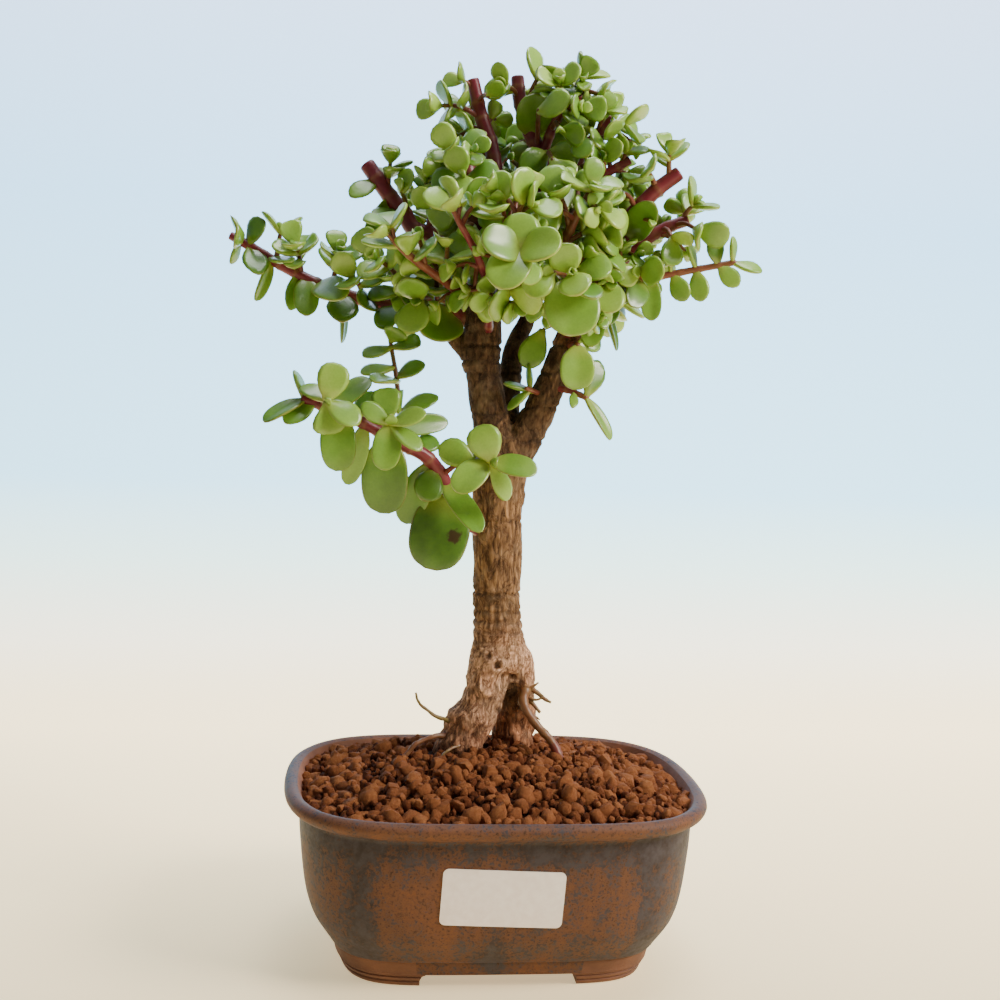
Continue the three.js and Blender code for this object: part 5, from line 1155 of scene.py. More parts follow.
def new_tree(name, **kinds):
    """What adds a node to a new geometry tree, what ends it with its instances made real and given
    their material, and its inputs."""
    tree = bpy.data.node_groups.new(name, "GeometryNodeTree")
    new_socket = tree.interface.new_socket
    for way in ("INPUT", "OUTPUT"):
        new_socket("Geometry", in_out=way, socket_type="NodeSocketGeometry")
    keys = {label: new_socket(label, in_out="INPUT", socket_type="NodeSocket" + kind).identifier
            for label, kind in kinds.items()}
    add = partial(add_node, tree)
    given = add("NodeGroupInput").outputs

    def finish(geometry):
        real = add("GeometryNodeRealizeInstances", {"Geometry": geometry})
        coloured = add("GeometryNodeSetMaterial", {"Geometry": real, "Material": given["Material"]})
        add("NodeGroupOutput", {"Geometry": coloured})
        return tree, keys

    return add, finish, given


def leaf_tree():
    """Geometry tree: a leaf of the chosen form on every point, turned and sized by its values."""
    add, finish, given = new_tree(
        "Jade leaves", Forms="Collection", Size="Float", Thickness="Float", Material="Material")
    way, face, size, form = (
        add("GeometryNodeInputNamedAttribute", {"Name": name}, data_type=kind) for name, kind in (
            ("leaf_way", "FLOAT_VECTOR"), ("leaf_face", "FLOAT_VECTOR"), ("leaf_size", "FLOAT_VECTOR"),
            ("leaf_form", "INT")))
    forms = add("GeometryNodeCollectionInfo", {
        "Collection": given["Forms"], "Separate Children": True, "Reset Children": True})
    turn = add("FunctionNodeAxesToRotation", {0: face, 1: way}, primary_axis="Z", secondary_axis="Y")
    thick = add("Math", {0: given["Size"], 1: given["Thickness"]}, operation="MULTIPLY")
    factors = add("CombineXYZ", {"X": given["Size"], "Y": given["Size"], "Z": thick})
    scale = add("VectorMath", {0: size, 1: factors}, operation="MULTIPLY")
    return finish(add("GeometryNodeInstanceOnPoints", {
        "Points": given["Geometry"], "Instance": forms, "Pick Instance": True, "Instance Index": form,
        "Rotation": turn, "Scale": scale}))


def form_collection(name, meshes):
    """A collection, outside the scene, that holds one object for each form, in order."""
    collection = bpy.data.collections.new(name)
    for i, mesh in enumerate(meshes):
        collection.objects.link(bpy.data.objects.new(f"{name}_{i:02d}", mesh))
    return collection


def drop_collection(collection):
    for item in list(collection.objects):
        bpy.data.objects.remove(item)
    bpy.data.collections.remove(collection)


def run_tree(piece, tree, keys, values):
    """Runs a geometry tree on a piece, with its inputs by name."""
    modifier = piece.modifiers.new(tree.name, "NODES")
    modifier.node_group = tree
    for name, value in values.items():
        modifier[keys[name]] = value
    return settle(piece)


# ---------------- trunk and roots

THIN_ROOTS = ("front_root", "low_root", "upturned_root", "right_rootlet", "lower_rootlet")
# How old the skin of the first three looks, as on the stems.
ROOT_AGES = (0.27, 0.32, 0.02)
# Broken root ends round the right hip: x, y, z and radius of each point.
FRAYED_ROOTS = [
    [[9, 8, 92, 0.9], [13, 6, 91.5, 0.6], [16, 6, 93.5, 0.3]],
    [[10, 7, 90, 0.8], [14.5, 5, 87.5, 0.5], [18.5, 4.5, 88.5, 0.25]],
    [[9, 6, 86, 0.8], [13.5, 4, 82, 0.5], [15, 3.5, 78.5, 0.3]],
    [[10, 9, 84, 0.8], [15, 9, 81, 0.5], [17.5, 10, 79, 0.25]],
    [[-10, 3, 72, 0.7], [-17, -2, 70, 0.5], [-21, -4, 66, 0.5]],
    [[-9, 12, 74, 0.9], [-15, 16, 71, 0.6], [-19, 19, 65, 0.5]],
    [[4, 22, 74, 1.0], [-2, 28, 71, 0.7], [-6, 31, 65, 0.6]],
]
# Growth rings and pruning scars that crease each tube's bark: height and depth in mm.
CREASES = {
    "trunk": [(125.9, 0.7), (119.4, 0.5), (115.9, 0.6), (112.3, 0.5), (152, 0.3)],
    "left_limb": [(213.9, 0.8), (208.3, 0.5), (203.8, 0.4), (190, 0.25)],
    "right_limb": [(215.2, 0.6), (205, 0.35), (193, 0.45), (181, 0.5)],
    "middle_limb": [(205, 0.4)],
}
# Knots and hollows: middle, radius, raised rim and depth in mm.
SCARS = [
    ((-7.6, 1.5, 147.3), 2.6, 0.8, 1.2), ((0, 0.6, 100.8), 2.2, 0.9, 0.8),
    ((6.8, 4.4, 95.6), 2.1, 0.4, 2.8), ((6.6, 5.4, 92.4), 2.0, 0.3, 2.4),
    ((-3, 0.5, 104), 1.8, 0.5, 0.3), ((7, 17, 150), 2.6, 0.8, 0.6), ((-6, 17, 128), 2.0, 0.6, 0.5),
    ((8.5, 8, 160), 1.8, 0.6, 0.4), ((3, 19, 112), 2.2, 0.7, 0.6),
]


def nearest_wood(points):
    """For each point, the tube whose bark it lies nearest to."""
    rows = [(name, np.array(a, float), np.array(b, float)) for name, tube in WOOD.items()
            if name not in THIN_ROOTS for a, b in zip(tube, tube[1:])]
    best, which = np.full(len(points), 1e9), np.zeros(len(points), int)
    for i, (_, a, b) in enumerate(rows):
        start, way = a[:3], b[:3] - a[:3]
        t = np.clip(((points - start) @ way) / (way @ way), 0, 1)
        gap = np.linalg.norm(points - start - t[:, None] * way, axis=1) - (a[3] + (b[3] - a[3]) * t)
        closer = gap < best
        best[closer], which[closer] = gap[closer], i
    return [rows[i][0] for i in which]


def bark_relief(point, name, axis, sway):
    """How far the bark stands out at a point, in mm, and how much of it is ridge, 0 to 1."""
    p = Vector(point)
    gnarl = clamp((112 - p.z) / 14)
    grain = p - axis * p.dot(axis) * (0.8 - 0.3 * gnarl)
    wide = noise.noise(grain / 1.7 + Vector((7, 3, 1)))
    fine = noise.noise(grain / 0.8 + Vector((1, 9, 4)))
    crack = min(1.0, 0.25 + abs(wide) / 0.3) * (0.75 + 0.25 * min(1.0, abs(fine) / 0.25))
    young = 0.45 if name in ("left_limb", "right_limb", "middle_limb", "left_spur") else 1.0
    lumps = noise.noise(p / 6.5) * (0.35 + 1.1 * gnarl) + noise.noise(p / 3.1) * (0.15 + 0.45 * gnarl)
    out = lumps - sway * young * (1 - crack)
    ridge = 0.18 + 0.5 * crack + 0.55 * max(0.0, noise.noise(grain / 1.2 + Vector((5, 2, 8))))
    drift = clamp(0.5 + 1.6 * noise.noise(p / 3.3))
    for height, depth in CREASES.get(name, ()):
        gap = (p.z - height - 0.9 * noise.noise(Vector((p.x, p.y, 0)) / 5)) / 0.55
        if abs(gap) < 5:
            dip = exp(-gap * gap)
            out += 0.35 * depth * exp(-((abs(gap) - 2.4) ** 2)) - depth * dip
            ridge -= 0.3 * dip * (0.4 + 0.6 * drift)
    for middle, radius, rim, depth in SCARS:
        d = (p - Vector(middle)).length
        if d < 2.5 * radius:
            out += rim * exp(-(((d - radius) / 0.8) ** 2)) - depth * exp(-((d / (0.6 * radius)) ** 2))
            ridge -= 0.9 * exp(-((d / (0.55 * radius)) ** 2))
    return out, clamp(ridge)


def bark_colour(point, name, colours):
    """The bark's own colour at a point, before its cracks and fibres darken it."""
    p = Vector(point)
    tan, gold, limb, orange, red, ash, moss_and_painted_shade = (Vector(c[:3]) for c in (
        colours.tan, colours.gold, colours.brown, colours.orange, colours.red, colours.ash, colours.moss_and_painted_shade))
    mid = tan.lerp(gold, noise.noise(p / 9) * 0.5 + 0.5)
    if name in ("left_limb", "left_spur"):
        tint = mid.lerp(limb, clamp((p.z - 168) / 16) * 0.85)
    elif name == "right_limb":
        tint = mid.lerp(limb, 0.8).lerp(orange, clamp((p.z - 214.5) / 1.5) * 0.85)
    elif name == "middle_limb":
        tint = limb * 0.62
    elif name == "back_leg":
        tint = mid.lerp(red, clamp((92 - p.z) / 12) * 0.85)
    else:
        low = clamp((118 - p.z) / 16)
        tint = mid.lerp(limb, clamp((p.z - 160) / 22) * 0.5).lerp(ash, low * 0.75)
        tint = tint.lerp(red, clamp(noise.noise(p / 4.5 + Vector((3, 3, 3))) * 2.2) * low * 0.4)
    tint = tint.lerp(red, clamp((88 - p.z) / 16) * 0.75)
    # Damp greenish bark and painted shade in the fork of the roots, darkest at its middle.
    damp = clamp(1 - (p - Vector((5, 7, 88))).length / 12)
    return tint.lerp(moss_and_painted_shade, damp * 0.8)


def trunk_skin():
    """The thick wood as overlapping smooth tubes, to be fused by a remesh."""
    skin = Skin()
    for name, tube in WOOD.items():
        if name not in THIN_ROOTS:
            skin.loft((ring, {}, 0) for ring in rings_along(*tube_path(tube, 2.0), 28))
    return skin


def dress_bark(piece, chosen):
    """Moves the bark's points in and out, and stores its ridges and colour on them."""
    mesh, origin = piece.data, np.array([*POT_MIDDLE, 0])
    given = {key: np.zeros(len(mesh.vertices) * 3) for key in ("co", "normal")}
    for key, flat in given.items():
        mesh.vertices.foreach_get(key, flat)
    points, normals = (given["co"].reshape(-1, 3) - origin) / MM, given["normal"].reshape(-1, 3)
    axes = {name: Vector(minus(tube[-1], tube[0])).normalized() for name, tube in WOOD.items()}
    axes["trunk"] = Vector(UP)
    ridges, tints = [], []
    for i, name in enumerate(nearest_wood(points)):
        out, ridge = bark_relief(points[i], name, axes[name], chosen.fissure_depth / MM)
        points[i] += normals[i] * out
        ridges.append(ridge)
        tints += [*bark_colour(points[i], name, chosen), 1.0]
    mesh.vertices.foreach_set("co", (points * MM + origin).ravel())
    store(mesh, "ridge", "FLOAT", ridges)
    store(mesh, "bark_tint", "FLOAT_COLOR", tints)
    mesh.shade_smooth()
    mesh.update()


def root_rings(number, tube, draw):
    """One thin root: a crooked tube, where the first blushes at a joint."""
    path, widths = tube_path(tube, 0.9)
    wobble = 0.12 if number == 0 else 0.22
    aside = Vector((number, 0, 0))
    path = [plus(p, noise.noise_vector(Vector(p) / 3 + aside) * wobble * 2) for p in path]
    widths = [w * (0.9 + 0.25 * draw()) for w in widths]
    for i, ring in enumerate(rings_along(path, widths, 9)):
        blush = number == 0 and 0.58 < i / (len(path) - 1) < 0.78
        age = 0.5 if blush else ROOT_AGES[number] if number < len(ROOT_AGES) else 0.1 + 0.2 * draw()
        yield ring, {"age": age, "ring": (0.4 if blush else 1.1) * (0.7 + 0.3 * draw())}, 0


def root_skin():
    """The thin roots, each sunk in the trunk at its start."""
    noise.seed_set(ROOT_SEED)
    skin, draw = Skin("age", "ring"), chance(ROOT_SEED)
    for number, tube in enumerate([WOOD[name] for name in THIN_ROOTS] + FRAYED_ROOTS):
        skin.loft(root_rings(number, tube, draw))
    return skin


# ---------------- pot, screens, soil, label

POT_HALF = (74, 59.5)
# Where the straight sides end and the corners' slant begins, and how sharply they turn.
POT_CORNER, POT_CRISPNESS = (52, 38), 10
# The wall from the foot up to the lip and down to the floor: height, and how far inside the rim.
POT_OUTSIDE = [
    (4.5, 19.2), (4.9, 18.5), (6.2, 18.4), (6.6, 18.1), (7.8, 18), (8.2, 17.7), (9.4, 17.6), (9.8, 16.6),
    (10.6, 15.9), (12, 15), (15, 12.9), (20, 9.9), (28, 7.6), (42, 5.9), (51, 5.3), (53.6, 5.3),
    (54.8, 4.4), (55.7, 2.2), (57, 0.7), (58.6, 0), (60.1, 0.5), (61, 2),
]
POT_INSIDE = [
    (61.1, 3.2), (60.4, 4.6), (58.5, 5.6), (56, 6.6), (42, 10.2), (24, 13.8), (15, 18.6), (10, 24),
]
# The feet's outer wall, with its turned ridges.
FOOT_OUTSIDE = [(0, 21.4), (0.4, 20.8), (1.4, 20.3), (1.9, 20.6), (2.3, 20.0), (3.3, 19.4), (3.7, 19.7),
                (4.2, 19.1), (4.9, 18.9), (8, 21)]
FOOT_INSET, FOOT_HEIGHT = 31, 8
FOOT_GAP, FOOT_GAP_TOP, FOOT_COVE = (53, 36), 4.7, 2.8
DRAIN_X, DRAIN_RADIUS = 22, 6
# How high the bare clay reaches up from the ground: between the feet and on them.
BARE_HEIGHTS = (5.0, 9.6)
# Where the glaze ends inside the rim, in metres.
INNER_GLAZE = 0.0595
# The angles from which an edge stays sharp, in degrees.
POT_SHARP, LABEL_SHARP, LUMP_SHARP = 34, 40, 48
# How many points the soil has round it and how many rounds from its middle out.
BED_SIDES, BED_ROUNDS = 96, 30
SOIL_EDGE, SOIL_MOUND, SOIL_REACH, BED_INSET = 56.5, 12.5, (68, 54.5), 6.6
GRANULE_POINTS, LUMP_FORMS = 20, 6
# Large and small granules: share of the size, share of the spacing, how high they lie in metres.
GRANULE_LAYERS, GRANULE_LIFT = ((1.0, 1.0, 0.0004), (0.5, 0.72, 0.0012)), 0.0013
LABEL_SIZE, LABEL_MIDDLE, LABEL_TURN, LABEL_CORNER = (40, 19.5), (-1.4, 35.3), -2.2, 1.9


def outline_share(x, y, inset):
    """How far out a place lies: 1 on the pot's outline, with its straight sides and slanted corners."""
    along_x, along_y = POT_HALF[1] - POT_CORNER[1], POT_HALF[0] - POT_CORNER[0]

    def slant(u, v):
        return (u * along_x + v * along_y) / hypot(along_x, along_y)

    parts = (abs(x) / (POT_HALF[0] - inset), abs(y) / (POT_HALF[1] - inset),
             slant(abs(x), abs(y)) / (slant(POT_CORNER[0], POT_HALF[1]) - inset))
    return sum(part ** POT_CRISPNESS for part in parts) ** (1 / POT_CRISPNESS)


def pot_ring(height, inset, sides, share=1.0):
    ring = []
    for k in range(sides):
        t = 2 * pi * (k + 0.5) / sides
        x, y = (POT_HALF[0] - inset) * cos(t), (POT_HALF[1] - inset) * sin(t)
        out = share / outline_share(x, y, inset)
        ring.append((x * out, y * out, height))
    return ring


def pot_profile(rows, step):
    path, _ = smooth_path([(inset, 0, height) for height, inset in rows], [0] * len(rows), step)
    return [(p[2], p[0]) for p in path]


def pot_skin(sides):
    """The pot's wall and floor as one closed skin, from the middle underneath to the middle inside."""
    skin, shares = Skin(), (0.05, 0.5, 0.85)
    walls = pot_profile(POT_OUTSIDE, 0.9) + pot_profile(POT_INSIDE, 1.8)
    rings = [pot_ring(*POT_OUTSIDE[0], sides, share) for share in shares]
    rings += [pot_ring(height, inset, sides) for height, inset in walls]
    rings += [pot_ring(*POT_INSIDE[-1], sides, share) for share in reversed(shares)]
    skin.loft((ring, {}, 0) for ring in rings)
    return skin


def feet_skin(sides):
    """The four corner feet as one ring, before the gaps between them are cut."""
    skin = Skin()
    rows = [*FOOT_OUTSIDE, (FOOT_HEIGHT, FOOT_INSET), (0, FOOT_INSET)]
    rings = [skin.ring(pot_ring(height, inset, sides)) for height, inset in rows]
    for a, b in zip(rings, rings[1:] + rings[:1]):
        skin.wall(a, b)
    return skin


def gap_cutter(name, size):
    """The gap between two feet: a long bar, coved where it meets the pot's underside."""
    across, made = 0 if size[0] < size[1] else 1, bmesh.new()
    place = Matrix.Translation(Vector(row_frame((0, 0, FOOT_GAP_TOP - size[2] / 2))))
    scale = Matrix.Diagonal((size[0] * MM, size[1] * MM, size[2] * MM, 1))
    bmesh.ops.create_cube(made, size=1, matrix=place @ scale)
    top = [edge for edge in made.edges if all(v.co.z > 0 for v in edge.verts)
           and abs((edge.verts[1].co - edge.verts[0].co)[across]) < 1e-6]
    bmesh.ops.bevel(made, geom=top, offset=FOOT_COVE * MM, segments=5, profile=0.5, affect="EDGES")
    return new_piece(name, mesh_of(name, made))


def drain_cutter(name, x):
    """A post through the pot's floor that cuts one drain hole."""
    made = bmesh.new()
    bmesh.ops.create_cone(
        made, cap_ends=True, segments=40, radius1=DRAIN_RADIUS * MM, radius2=DRAIN_RADIUS * MM,
        depth=0.03, matrix=Matrix.Translation(Vector(row_frame((x, 0, 8)))))
    return new_piece(name, mesh_of(name, made))


def cut_with(piece, operation, *tools):
    """Joins or cuts a piece with other solids, then removes them."""
    for tool in tools:
        modifier = piece.modifiers.new(operation.title(), "BOOLEAN")
        modifier.operation, modifier.solver, modifier.object = operation, "EXACT", tool
    settle(piece)
    for tool in tools:
        bpy.data.objects.remove(tool)


def ground_height(x, y):
    """The soil's height without its granules, in mm."""
    mound = max(0, 1 - abs(x / SOIL_REACH[0]) ** 2.2) * max(0, 1 - abs(y / SOIL_REACH[1]) ** 3)
    rough = 0.9 * noise.noise(Vector((x, y, 0)) / 9)
    return SOIL_EDGE - 1.6 - 3.2 * max(0, (y - 28) / 26) + SOIL_MOUND * mound + rough


def bed_skin(sides, rounds):
    """The packed soil under the granules: a mounded top and a body that fills the pot."""
    skin, rings = Skin("open_ground"), []
    for k in range(rounds, -1, -1):
        flat = pot_ring(0, BED_INSET, sides, max(0.01, k / rounds))
        rings.append(skin.ring([(x, y, ground_height(x, y)) for x, y, _ in flat], open_ground=1.0))
    for a, b in zip(rings, rings[1:]):
        skin.wall(b, a)
    skin.cap(rings[-1], flip=True)
    last = rings[0]
    for height, rim in pot_profile(POT_INSIDE, 1.8):
        if height < SOIL_EDGE - 3:
            ring = skin.ring(pot_ring(height + 0.4, rim + 0.5, sides))
            skin.wall(last, ring)
            last = ring
    skin.cap(last)
    wood = WOOD["left_leg"][-2:] + WOOD["back_leg"][-2:]
    for i, (x, y, z) in enumerate(skin.points):
        if z < 50 or any(hypot(x - w[0], y - w[1]) < w[3] + 0.4 for w in wood):
            skin.values["open_ground"][i] = 0.0
    return skin


def granule_mesh(name, seed):
    """A broken clay lump about 1 across: the hull of points strewn round a stretched ball."""
    draw = chance(seed)
    stretch = (0.62, 0.4 + 0.16 * draw(), 0.34 + 0.16 * draw())
    made = bmesh.new()
    for k in range(GRANULE_POINTS):
        up = 1 - 2 * (k + 0.5) / GRANULE_POINTS
        turn = radians(GOLDEN_ANGLE) * k + 0.9 * draw()
        flat = sqrt(1 - up * up)
        made.verts.new((0.84 + 0.3 * draw()) * Vector((
            flat * cos(turn) * stretch[0], flat * sin(turn) * stretch[1], up * stretch[2])))
    hull = bmesh.ops.convex_hull(made, input=made.verts)
    inner = [v for v in hull["geom_interior"] if isinstance(v, bmesh.types.BMVert)]
    bmesh.ops.delete(made, geom=inner, context="VERTS")
    mesh = mesh_of(name, made)
    mesh.set_sharp_from_angle(angle=radians(LUMP_SHARP))
    return mesh


def granule_tree():
    """Geometry tree: two sizes of clay granules strewn on open ground and turned at random."""
    add, finish, given = new_tree("Clay granules", Lumps="Collection", Size="Float", Spacing="Float",
                                  Seed="Int", Material="Material")
    ground = add("GeometryNodeInputNamedAttribute", {"Name": "open_ground"}, data_type="FLOAT")
    is_open = add("FunctionNodeCompare", {0: ground, 1: 0.6}, data_type="FLOAT", operation="GREATER_THAN")
    lumps = add("GeometryNodeCollectionInfo", {
        "Collection": given["Lumps"], "Separate Children": True, "Reset Children": True})
    layers = []
    for number, (grow, apart, rise) in enumerate(GRANULE_LAYERS):
        seed = add("Math", {0: given["Seed"], 1: float(number * 17)}, operation="ADD")
        gap = add("Math", {0: given["Spacing"], 1: apart}, operation="MULTIPLY")
        tone, size = (add("FunctionNodeRandomValue", {2: low, 3: high, "Seed": seed}, data_type="FLOAT")
                      for low, high in ((0.16, 0.78), (0.0, 1.0)))
        lift, turn = (
            add("FunctionNodeRandomValue", {0: low, 1: high, "Seed": seed}, data_type="FLOAT_VECTOR")
            for low, high in (((0.0, 0.0, rise - GRANULE_LIFT), (0.0, 0.0, rise + GRANULE_LIFT)),
                              ((0.0, 0.0, 0.0), (6.283, 6.283, 6.283))))
        points = add("GeometryNodeDistributePointsOnFaces", {
            "Mesh": given["Geometry"], "Selection": is_open, "Distance Min": gap, "Density Max": 400000.0,
            "Seed": seed}, distribute_method="POISSON")
        toned = add("GeometryNodeStoreNamedAttribute", {
            "Geometry": points, "Name": "grain_tone", "Value": tone}, data_type="FLOAT", domain="POINT")
        lifted = add("GeometryNodeSetPosition", {"Geometry": toned, "Offset": lift})
        few = add("Math", {0: size, 1: 1.8}, operation="POWER")
        spread = add("Math", {0: few, 1: 0.95 * grow, 2: 0.68 * grow}, operation="MULTIPLY_ADD")
        scale = add("Math", {0: spread, 1: given["Size"]}, operation="MULTIPLY")
        layers.append(add("GeometryNodeInstanceOnPoints", {
            "Points": lifted, "Instance": lumps, "Pick Instance": True, "Rotation": turn, "Scale": scale}))
    joined = add("GeometryNodeJoinGeometry")
    for layer in layers:
        joined.id_data.links.new(layer.outputs[0], joined.inputs[0])
    return finish(joined)


def wall_depth(x, height):
    """Where the pot's front wall stands at a place across and up it."""
    rows = pot_profile(POT_OUTSIDE, 1.2)
    inset = next(between((i0, i1), (height - h0) / (h1 - h0))
                 for (h0, i0), (h1, i1) in zip(rows, rows[1:]) if h0 <= height <= h1)
    near, far = 0.0, POT_HALF[1]
    for _ in range(30):
        middle = (near + far) / 2
        near, far = (middle, far) if outline_share(x, middle, inset) < 1 else (near, middle)
    return -near


def label_skin(thickness):
    """The blank sticker: a sheet with round corners, laid on the pot's curved front."""
    w, h = LABEL_SIZE[0] / 2, LABEL_SIZE[1] / 2
    turn = radians(LABEL_TURN)
    straight = w - LABEL_CORNER
    across = [-w + LABEL_CORNER * (1 - cos(pi / 2 * k / 5)) for k in range(5)]
    across += [-straight + 2 * straight * k / 18 for k in range(19)]
    across += [-x for x in reversed(across[:5])]
    skin, rings = Skin(), []
    for u in across:
        past = max(0.0, abs(u) - straight)
        half = h - LABEL_CORNER + sqrt(max(0.0, LABEL_CORNER ** 2 - past ** 2))
        rows = [half * (-1 + 2 * k / 10) for k in range(11)]
        ring = []
        for out, column in ((thickness, rows), (0.02, reversed(rows))):
            for v in column:
                x = LABEL_MIDDLE[0] + u * cos(turn) - v * sin(turn)
                z = LABEL_MIDDLE[1] + u * sin(turn) + v * cos(turn)
                ring.append((x, wall_depth(x, z) - out, z))
        rings.append(skin.ring(ring))
    for a, b in zip(rings, rings[1:]):
        skin.wall(b, a)
    skin.cap(rings[0])
    skin.cap(rings[-1], flip=True)
    return skin


# ---------------- settings


def colour(label, note, code):
    return FloatVectorProperty(name=label, description=note, default=linear(code), size=4, min=0, max=1,
                               subtype="COLOR")


def metres(label, note, default, least, most):
    return FloatProperty(name=label, description=note, default=default, min=least, max=most, unit="LENGTH")


class JadeLeafSettings(PropertyGroup):
    size: FloatProperty(name="Leaf Size", description="Every leaf's size, as a share of its planned size",
                        default=1.06, min=0.7, max=1.2, subtype="FACTOR")
    thickness: FloatProperty(name="Leaf Thickness", description="The leaves' thickness, as a share of plan",
                             default=1.25, min=0.5, max=1.5, subtype="FACTOR")
    twigs: IntProperty(name="Extra Twigs", description="Short leafy twigs that thicken the crown",
                       default=170, min=0, max=250)
    seed: IntProperty(name="Seed", description="Where the extra twigs grow", default=41)
    # Shade Green also paints the shade deep in the crown and at the back; Pale Green also the light on
    # high, front leaves.
    shade: colour("Shade Green", "The oldest leaves", "#2c4710")
    body: colour("Body Green", "Most leaves", "#5f8b2a")
    young: colour("Young Green", "Sunlit young leaves", "#8ab044")
    pale: colour("Pale Green", "The palest leaves and undersides", "#a8c45c")
    heel: colour("Heel", "Yellowish foot of each leaf", "#b0b450")
    rim: colour("Rim", "Reddened edge of each leaf", "#9c6a3a")


class JadeStemSettings(PropertyGroup):
    green: colour("Fresh Skin", "Skin at growing tips", "#6d6f2c")
    orange: colour("Year-Old Skin", "Skin of the first year's wood", "#6f4226")
    red: colour("Red Skin", "Skin of second-year wood", "#7c2634")
    maroon: colour("Maroon Skin", "Skin of the oldest stems", "#641a27")
    scar: colour("Leaf Scar", "Rings where old leaves stood", "#86603f")
    pith: colour("Cut Pith", "Dried ends of pruned stems", "#a88460")


class JadeBarkSettings(PropertyGroup):
    voxel: metres("Remesh Size", "Fineness of the fused bark", 0.0006, 0.0004, 0.003)
    fissure_depth: metres("Fissure Depth", "How deep the bark cracks", 0.0005, 0, 0.002)
    tan: colour("Tan Bark", "Ridges of the trunk", "#987451")
    gold: colour("Golden Bark", "Sunlit streaks on the trunk", "#7d5d40")
    brown: colour("Limb Bark", "Darker bark of the limbs", "#503a2a")
    ash: colour("Ash Bark", "Grey-pink bark low on the trunk", "#e2b392")
    red: colour("Red Bark", "Reddish bark of the hind leg", "#b47a56")
    orange: colour("Young Limb", "Smooth orange-brown end of the right limb", "#74492c")
    # This colour also paints the shade in the fork of the roots.
    moss_and_painted_shade: colour("Damp Bark", "Greenish bark in the fork of the roots", "#42381f")
    dust: colour("Lichen Dust", "Pale bloom on the ridges", "#b59a7c")


class JadePotSettings(PropertyGroup):
    sides: IntProperty(name="Sides", description="Points round the pot", default=128, min=32, max=256)
    brown: colour("Brown Glaze", "The glaze over most of the wall", "#5d3e2d")
    rust: colour("Rust Glaze", "Where the glaze is thick", "#75492e")
    dark: colour("Iron Speckle", "Fine dark speckle", "#2c1c14")
    slate: colour("Slate Glaze", "Where the glaze breaks grey", "#413b3f")
    umber: colour("Umber Glaze", "Between slate and brown", "#302726")
    foot: colour("Burnt Bisque", "Bare clay of the feet", "#694431")
    inside: colour("Inner Wall", "Bare clay inside the rim", "#7d4e33")


class JadeSoilSettings(PropertyGroup):
    size: metres("Granule Size", "A typical granule's width", 0.0047, 0.001, 0.01)
    spacing: metres("Granule Spacing", "Least distance between granules", 0.0031, 0.001, 0.01)
    seed: IntProperty(name="Seed", description="How the granules lie", default=5)
    # The darkest clay stands for damp granules and also paints the shade in the gaps, on the bed under
    # them.
    dark: colour("Damp Clay", "Cracks and damp granules", "#200e07")
    clay: colour("Clay", "Most granules", "#66371f")
    light: colour("Dry Clay", "Sunlit faces", "#925a36")
    dust: colour("Clay Dust", "Dusty edges", "#ab7446")


class JadeLabelSettings(PropertyGroup):
    thickness: metres("Thickness", "Sheet and its glue", 0.00035, 0.0001, 0.001)
    paper: colour("Paper", "Coated paper", "#f3ecea")
    shade: colour("Paper Shade", "Faint mottling of the sheet", "#e9e0dd")


class JadeStageSettings(PropertyGroup):
    focal_length: FloatProperty(name="Focal Length", description="The camera's lens", default=50.4,
                                min=20, max=200, unit="CAMERA")
    key: FloatProperty(name="Key Light", description="Power of the softbox on the right", default=28.5,
                       min=0, unit="POWER")
    fill: FloatProperty(name="Fill Light", description="Power of the softbox on the left", default=0.6,
                        min=0, unit="POWER")
    sky: FloatProperty(name="Sky", description="Strength of the light from all round", default=0.14, min=0)
    glow: FloatProperty(name="Sweep Glow", description="How bright the sweep shines", default=2.65, min=0)


# ---------------- operators

LEAFY = list(dict.fromkeys(node_of(name) for name in STEMS))


class JADE_OT_pot(Operator):
    """Build the glazed pot with its feet and drain holes"""
    bl_idname = "jade.pot"
    bl_label = "Build Pot"

    def execute(self, context):
        chosen = context.scene.jade_pot
        glaze, bare = pot_glaze(chosen), bare_stoneware(chosen)
        pot = new_piece("glazed_pot", pot_skin(chosen.sides), glaze, bare)
        feet = new_piece("feet", feet_skin(chosen.sides))
        cut_with(feet, "DIFFERENCE", gap_cutter("gap_x", (FOOT_GAP[0], 200, 30)),
                 gap_cutter("gap_y", (200, FOOT_GAP[1], 30)))
        cut_with(pot, "UNION", feet)
        cut_with(pot, "DIFFERENCE", drain_cutter("drain_left", -DRAIN_X),
                 drain_cutter("drain_right", DRAIN_X))
        for face in pot.data.polygons:
            x, y = face.center.x - POT_MIDDLE[0], face.center.y - POT_MIDDLE[1]
            inner = face.normal.dot(Vector((x, y, 0))) < 0 and face.center.z < INNER_GLAZE
            corner = abs(x) > FOOT_GAP[0] / 2 * MM and abs(y) > FOOT_GAP[1] / 2 * MM
            face.material_index = 1 if inner or face.center.z < BARE_HEIGHTS[corner] * MM else 0
        pot.data.shade_smooth()
        pot.data.set_sharp_from_angle(angle=radians(POT_SHARP))
        finish_piece(pot, "pot", "pot")
        return {"FINISHED"}


class JADE_OT_screens(Operator):
    """Finish the drain screens on the pot's floor"""
    bl_idname = "jade.screens"
    bl_label = "Finish Screens"

    def execute(self, context):
        plastic = moulded_mesh()
        for name in ("drain_screen_left", "drain_screen_right"):
            screen = frame["nodes"][name]
            screen.data.materials.clear()
            screen.data.materials.append(plastic)
        return {"FINISHED"}


